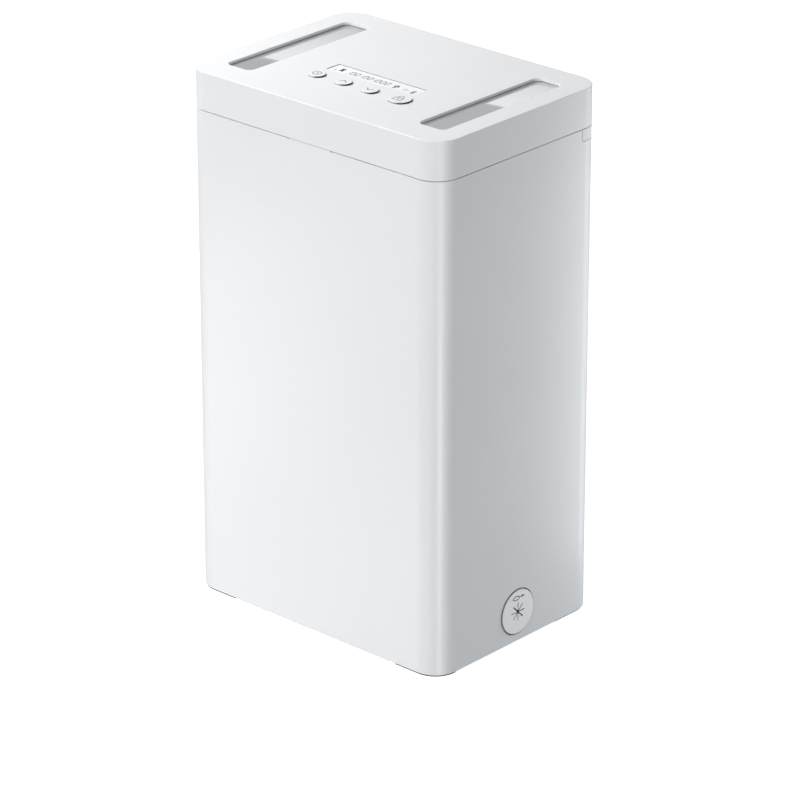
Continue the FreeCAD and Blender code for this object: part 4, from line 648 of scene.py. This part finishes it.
# ------------------------------------------------------------------ lights: (name, place, aimed at, width, height, watts, colour)
COOL = (0.945, 0.98, 1.0)
LIGHTS = [
    # big soft key in front and above, a second one high on the left
    ("key_front", (0.147, -1.679, 1.584), (0, 0, 0.17), 0.9, 0.9, 26.0, (1.0, 1.0, 1.0)),
    ("key_left", (-1.66, -0.293, 1.584), (0, 0, 0.17), 0.9, 0.9, 33.5, (1.0, 0.990, 0.985)),
    ("front_low", (0.166, -1.898, -0.93), (0, 0, 0.17), 0.9, 0.9, 4.0, (1.0, 1.0, 1.0)),
    ("front_level", (0.191, -2.183, 0.362), (0, 0, 0.17), 0.9, 0.9, 1.05, (1.0, 1.0, 1.0)),
    # small panels near the left front corner, low and high: the front and the top grow brighter towards it
    ("low_front_left_a", (-0.28, -0.30, 0.06), (-0.06, -0.075, 0.06), 0.14, 0.2, 0.206, (1.0, 1.0, 1.0)),
    ("low_front_left_b", (-0.25, -0.45, -0.18), (-0.05, -0.075, 0.08), 0.3, 0.2, 0.409, (1.0, 1.0, 1.0)),
    ("high_front_left", (-0.30, -0.32, 0.66), (-0.05, -0.05, 0.352), 0.2, 0.2, 0.17, (1.0, 0.995, 0.99)),
    ("high_left", (-0.22, -0.05, 0.62), (-0.05, -0.02, 0.352), 0.16, 0.16, 0.25, (1.0, 1.0, 1.0)),
    # strips low on the right: their gloss draws the bright line down the front corner
    ("corner_strip", (1.485, -0.939, -0.556), (0.0886, -0.0586, 0.16), 0.25, 0.5, 7.34, (0.965, 0.985, 1.0)),
    ("corner_wide", (1.638, -0.630, -0.556), (0.0886, -0.0586, 0.16), 0.5, 0.5, 2.35, COOL),
    # rear edge of the right side, and fills behind and to the right
    ("right_rear", (0.15, 0.14, 0.17), (0.105, 0.03, 0.17), 0.05, 0.36, 0.131, (1.0, 0.99, 0.98)),
    ("rear_fill", (0.567, 2.117, 0.362), (0, 0, 0.17), 0.9, 0.9, 16.5, COOL),
    ("right_high", (1.679, -0.147, 1.584), (0, 0, 0.17), 0.9, 0.9, 4.72, COOL),
]


def area(name, place, aim, width, height, watts, colour):
    data = bpy.data.lights.new(name, "AREA")
    data.shape = "RECTANGLE"
    data.size, data.size_y = width, height
    data.energy = watts
    data.color = colour
    o = bpy.data.objects.new(name, data)
    scene.collection.objects.link(o)
    o.location = place
    o.rotation_mode = "QUATERNION"
    o.rotation_quaternion = (Vector(aim) - Vector(place)).to_track_quat("-Z", "Y")
    o.visible_camera = False
    return o


for spec in LIGHTS:
    area(*spec)

# the panes mirror a low bright card behind: its straight top edge crosses both of them, and it dims downwards.
# It is linked to the panes alone, so it adds nothing to the rest
CARD_W, CARD_H = 0.80, 0.10
to_box = Vector((0.6722, -0.7404, 0.0)).normalized()
along = Vector((-0.7404, -0.6722, -0.21815)).normalized()
upward = (-to_box).cross(along)
across = upward.cross(-to_box)
card = area("rear_card", (0, 0, 0), (0, 0, -1), CARD_W, CARD_H, 0.57, (0.985, 0.995, 1.0))
edge_mid = to_box * -2.29 + Vector((0, 0, 1.16169)) + along * 0.02
card.location = edge_mid - upward * (CARD_H / 2)
card.rotation_quaternion = Matrix((across, upward, -to_box)).transposed().to_quaternion()
shown_in = bpy.data.collections.new("card_panes")
for name in ("window_pane_left", "window_pane_right"):
    shown_in.objects.link(nodes[name])
card.light_linking.receiver_collection = shown_in
card.data.use_nodes = True
ct = card.data.node_tree
ct.nodes.clear()
cout = ct.nodes.new("ShaderNodeOutputLight")
cem = ct.nodes.new("ShaderNodeEmission")
cgeo = ct.nodes.new("ShaderNodeNewGeometry")
csep = ct.nodes.new("ShaderNodeSeparateXYZ")
cmap = ct.nodes.new("ShaderNodeMapRange")
ct.links.new(cgeo.outputs["Parametric"], csep.inputs[0])
ct.links.new(csep.outputs["Y"], cmap.inputs["Value"])
cmap.inputs["To Min"].default_value = 0.1
cmap.inputs["To Max"].default_value = 1.0
ct.links.new(cmap.outputs[0], cem.inputs["Strength"])
ct.links.new(cem.outputs[0], cout.inputs[0])

world = bpy.data.worlds.new("studio")
scene.world = world
world.use_nodes = True
w = world.node_tree
w.nodes.clear()
wout = w.nodes.new("ShaderNodeOutputWorld")
wmix = w.nodes.new("ShaderNodeMixShader")
wamb = w.nodes.new("ShaderNodeBackground")
wcam = w.nodes.new("ShaderNodeBackground")
wpath = w.nodes.new("ShaderNodeLightPath")
wcoord = w.nodes.new("ShaderNodeTexCoord")
wsep = w.nodes.new("ShaderNodeSeparateXYZ")
wramp = w.nodes.new("ShaderNodeValToRGB")
wmap = w.nodes.new("ShaderNodeMapRange")
w.links.new(wcoord.outputs["Generated"], wsep.inputs[0])
w.links.new(wsep.outputs["Z"], wmap.inputs["Value"])
wmap.inputs["From Min"].default_value = -1.0
wmap.inputs["From Max"].default_value = 1.0
w.links.new(wmap.outputs[0], wramp.inputs[0])
e = wramp.color_ramp.elements
e[0].position, e[0].color = 0.45, (0.93, 0.97, 1.0, 1)
e[1].position, e[1].color = 0.95, (1.0, 1.0, 1.0, 1)
w.links.new(wramp.outputs[0], wamb.inputs["Color"])
wamb.inputs["Strength"].default_value = 0.13
wcam.inputs["Color"].default_value = (1, 1, 1, 1)
wcam.inputs["Strength"].default_value = 1.05
w.links.new(wpath.outputs["Is Camera Ray"], wmix.inputs[0])
w.links.new(wamb.outputs[0], wmix.inputs[1])
w.links.new(wcam.outputs[0], wmix.inputs[2])
w.links.new(wmix.outputs[0], wout.inputs["Surface"])

# ------------------------------------------------------------------ camera and colour
cam_data = bpy.data.cameras.new("camera")
cam_data.sensor_width = 36.0
cam_data.lens = 200.68
cam_data.clip_start, cam_data.clip_end = 0.1, 60.0
cam = bpy.data.objects.new("camera", cam_data)
scene.collection.objects.link(cam)
cam.location = (1.73770, -1.90810, 1.25483)
cam.rotation_mode = "QUATERNION"
cam.rotation_quaternion = (-Vector((0.61655934, -0.67926688, 0.39805915))).to_track_quat("-Z", "Y")
scene.camera = cam
scene.view_settings.view_transform = "Standard"
scene.view_settings.look = "None"
scene.view_settings.exposure = 0.0
scene.view_settings.gamma = 1.0
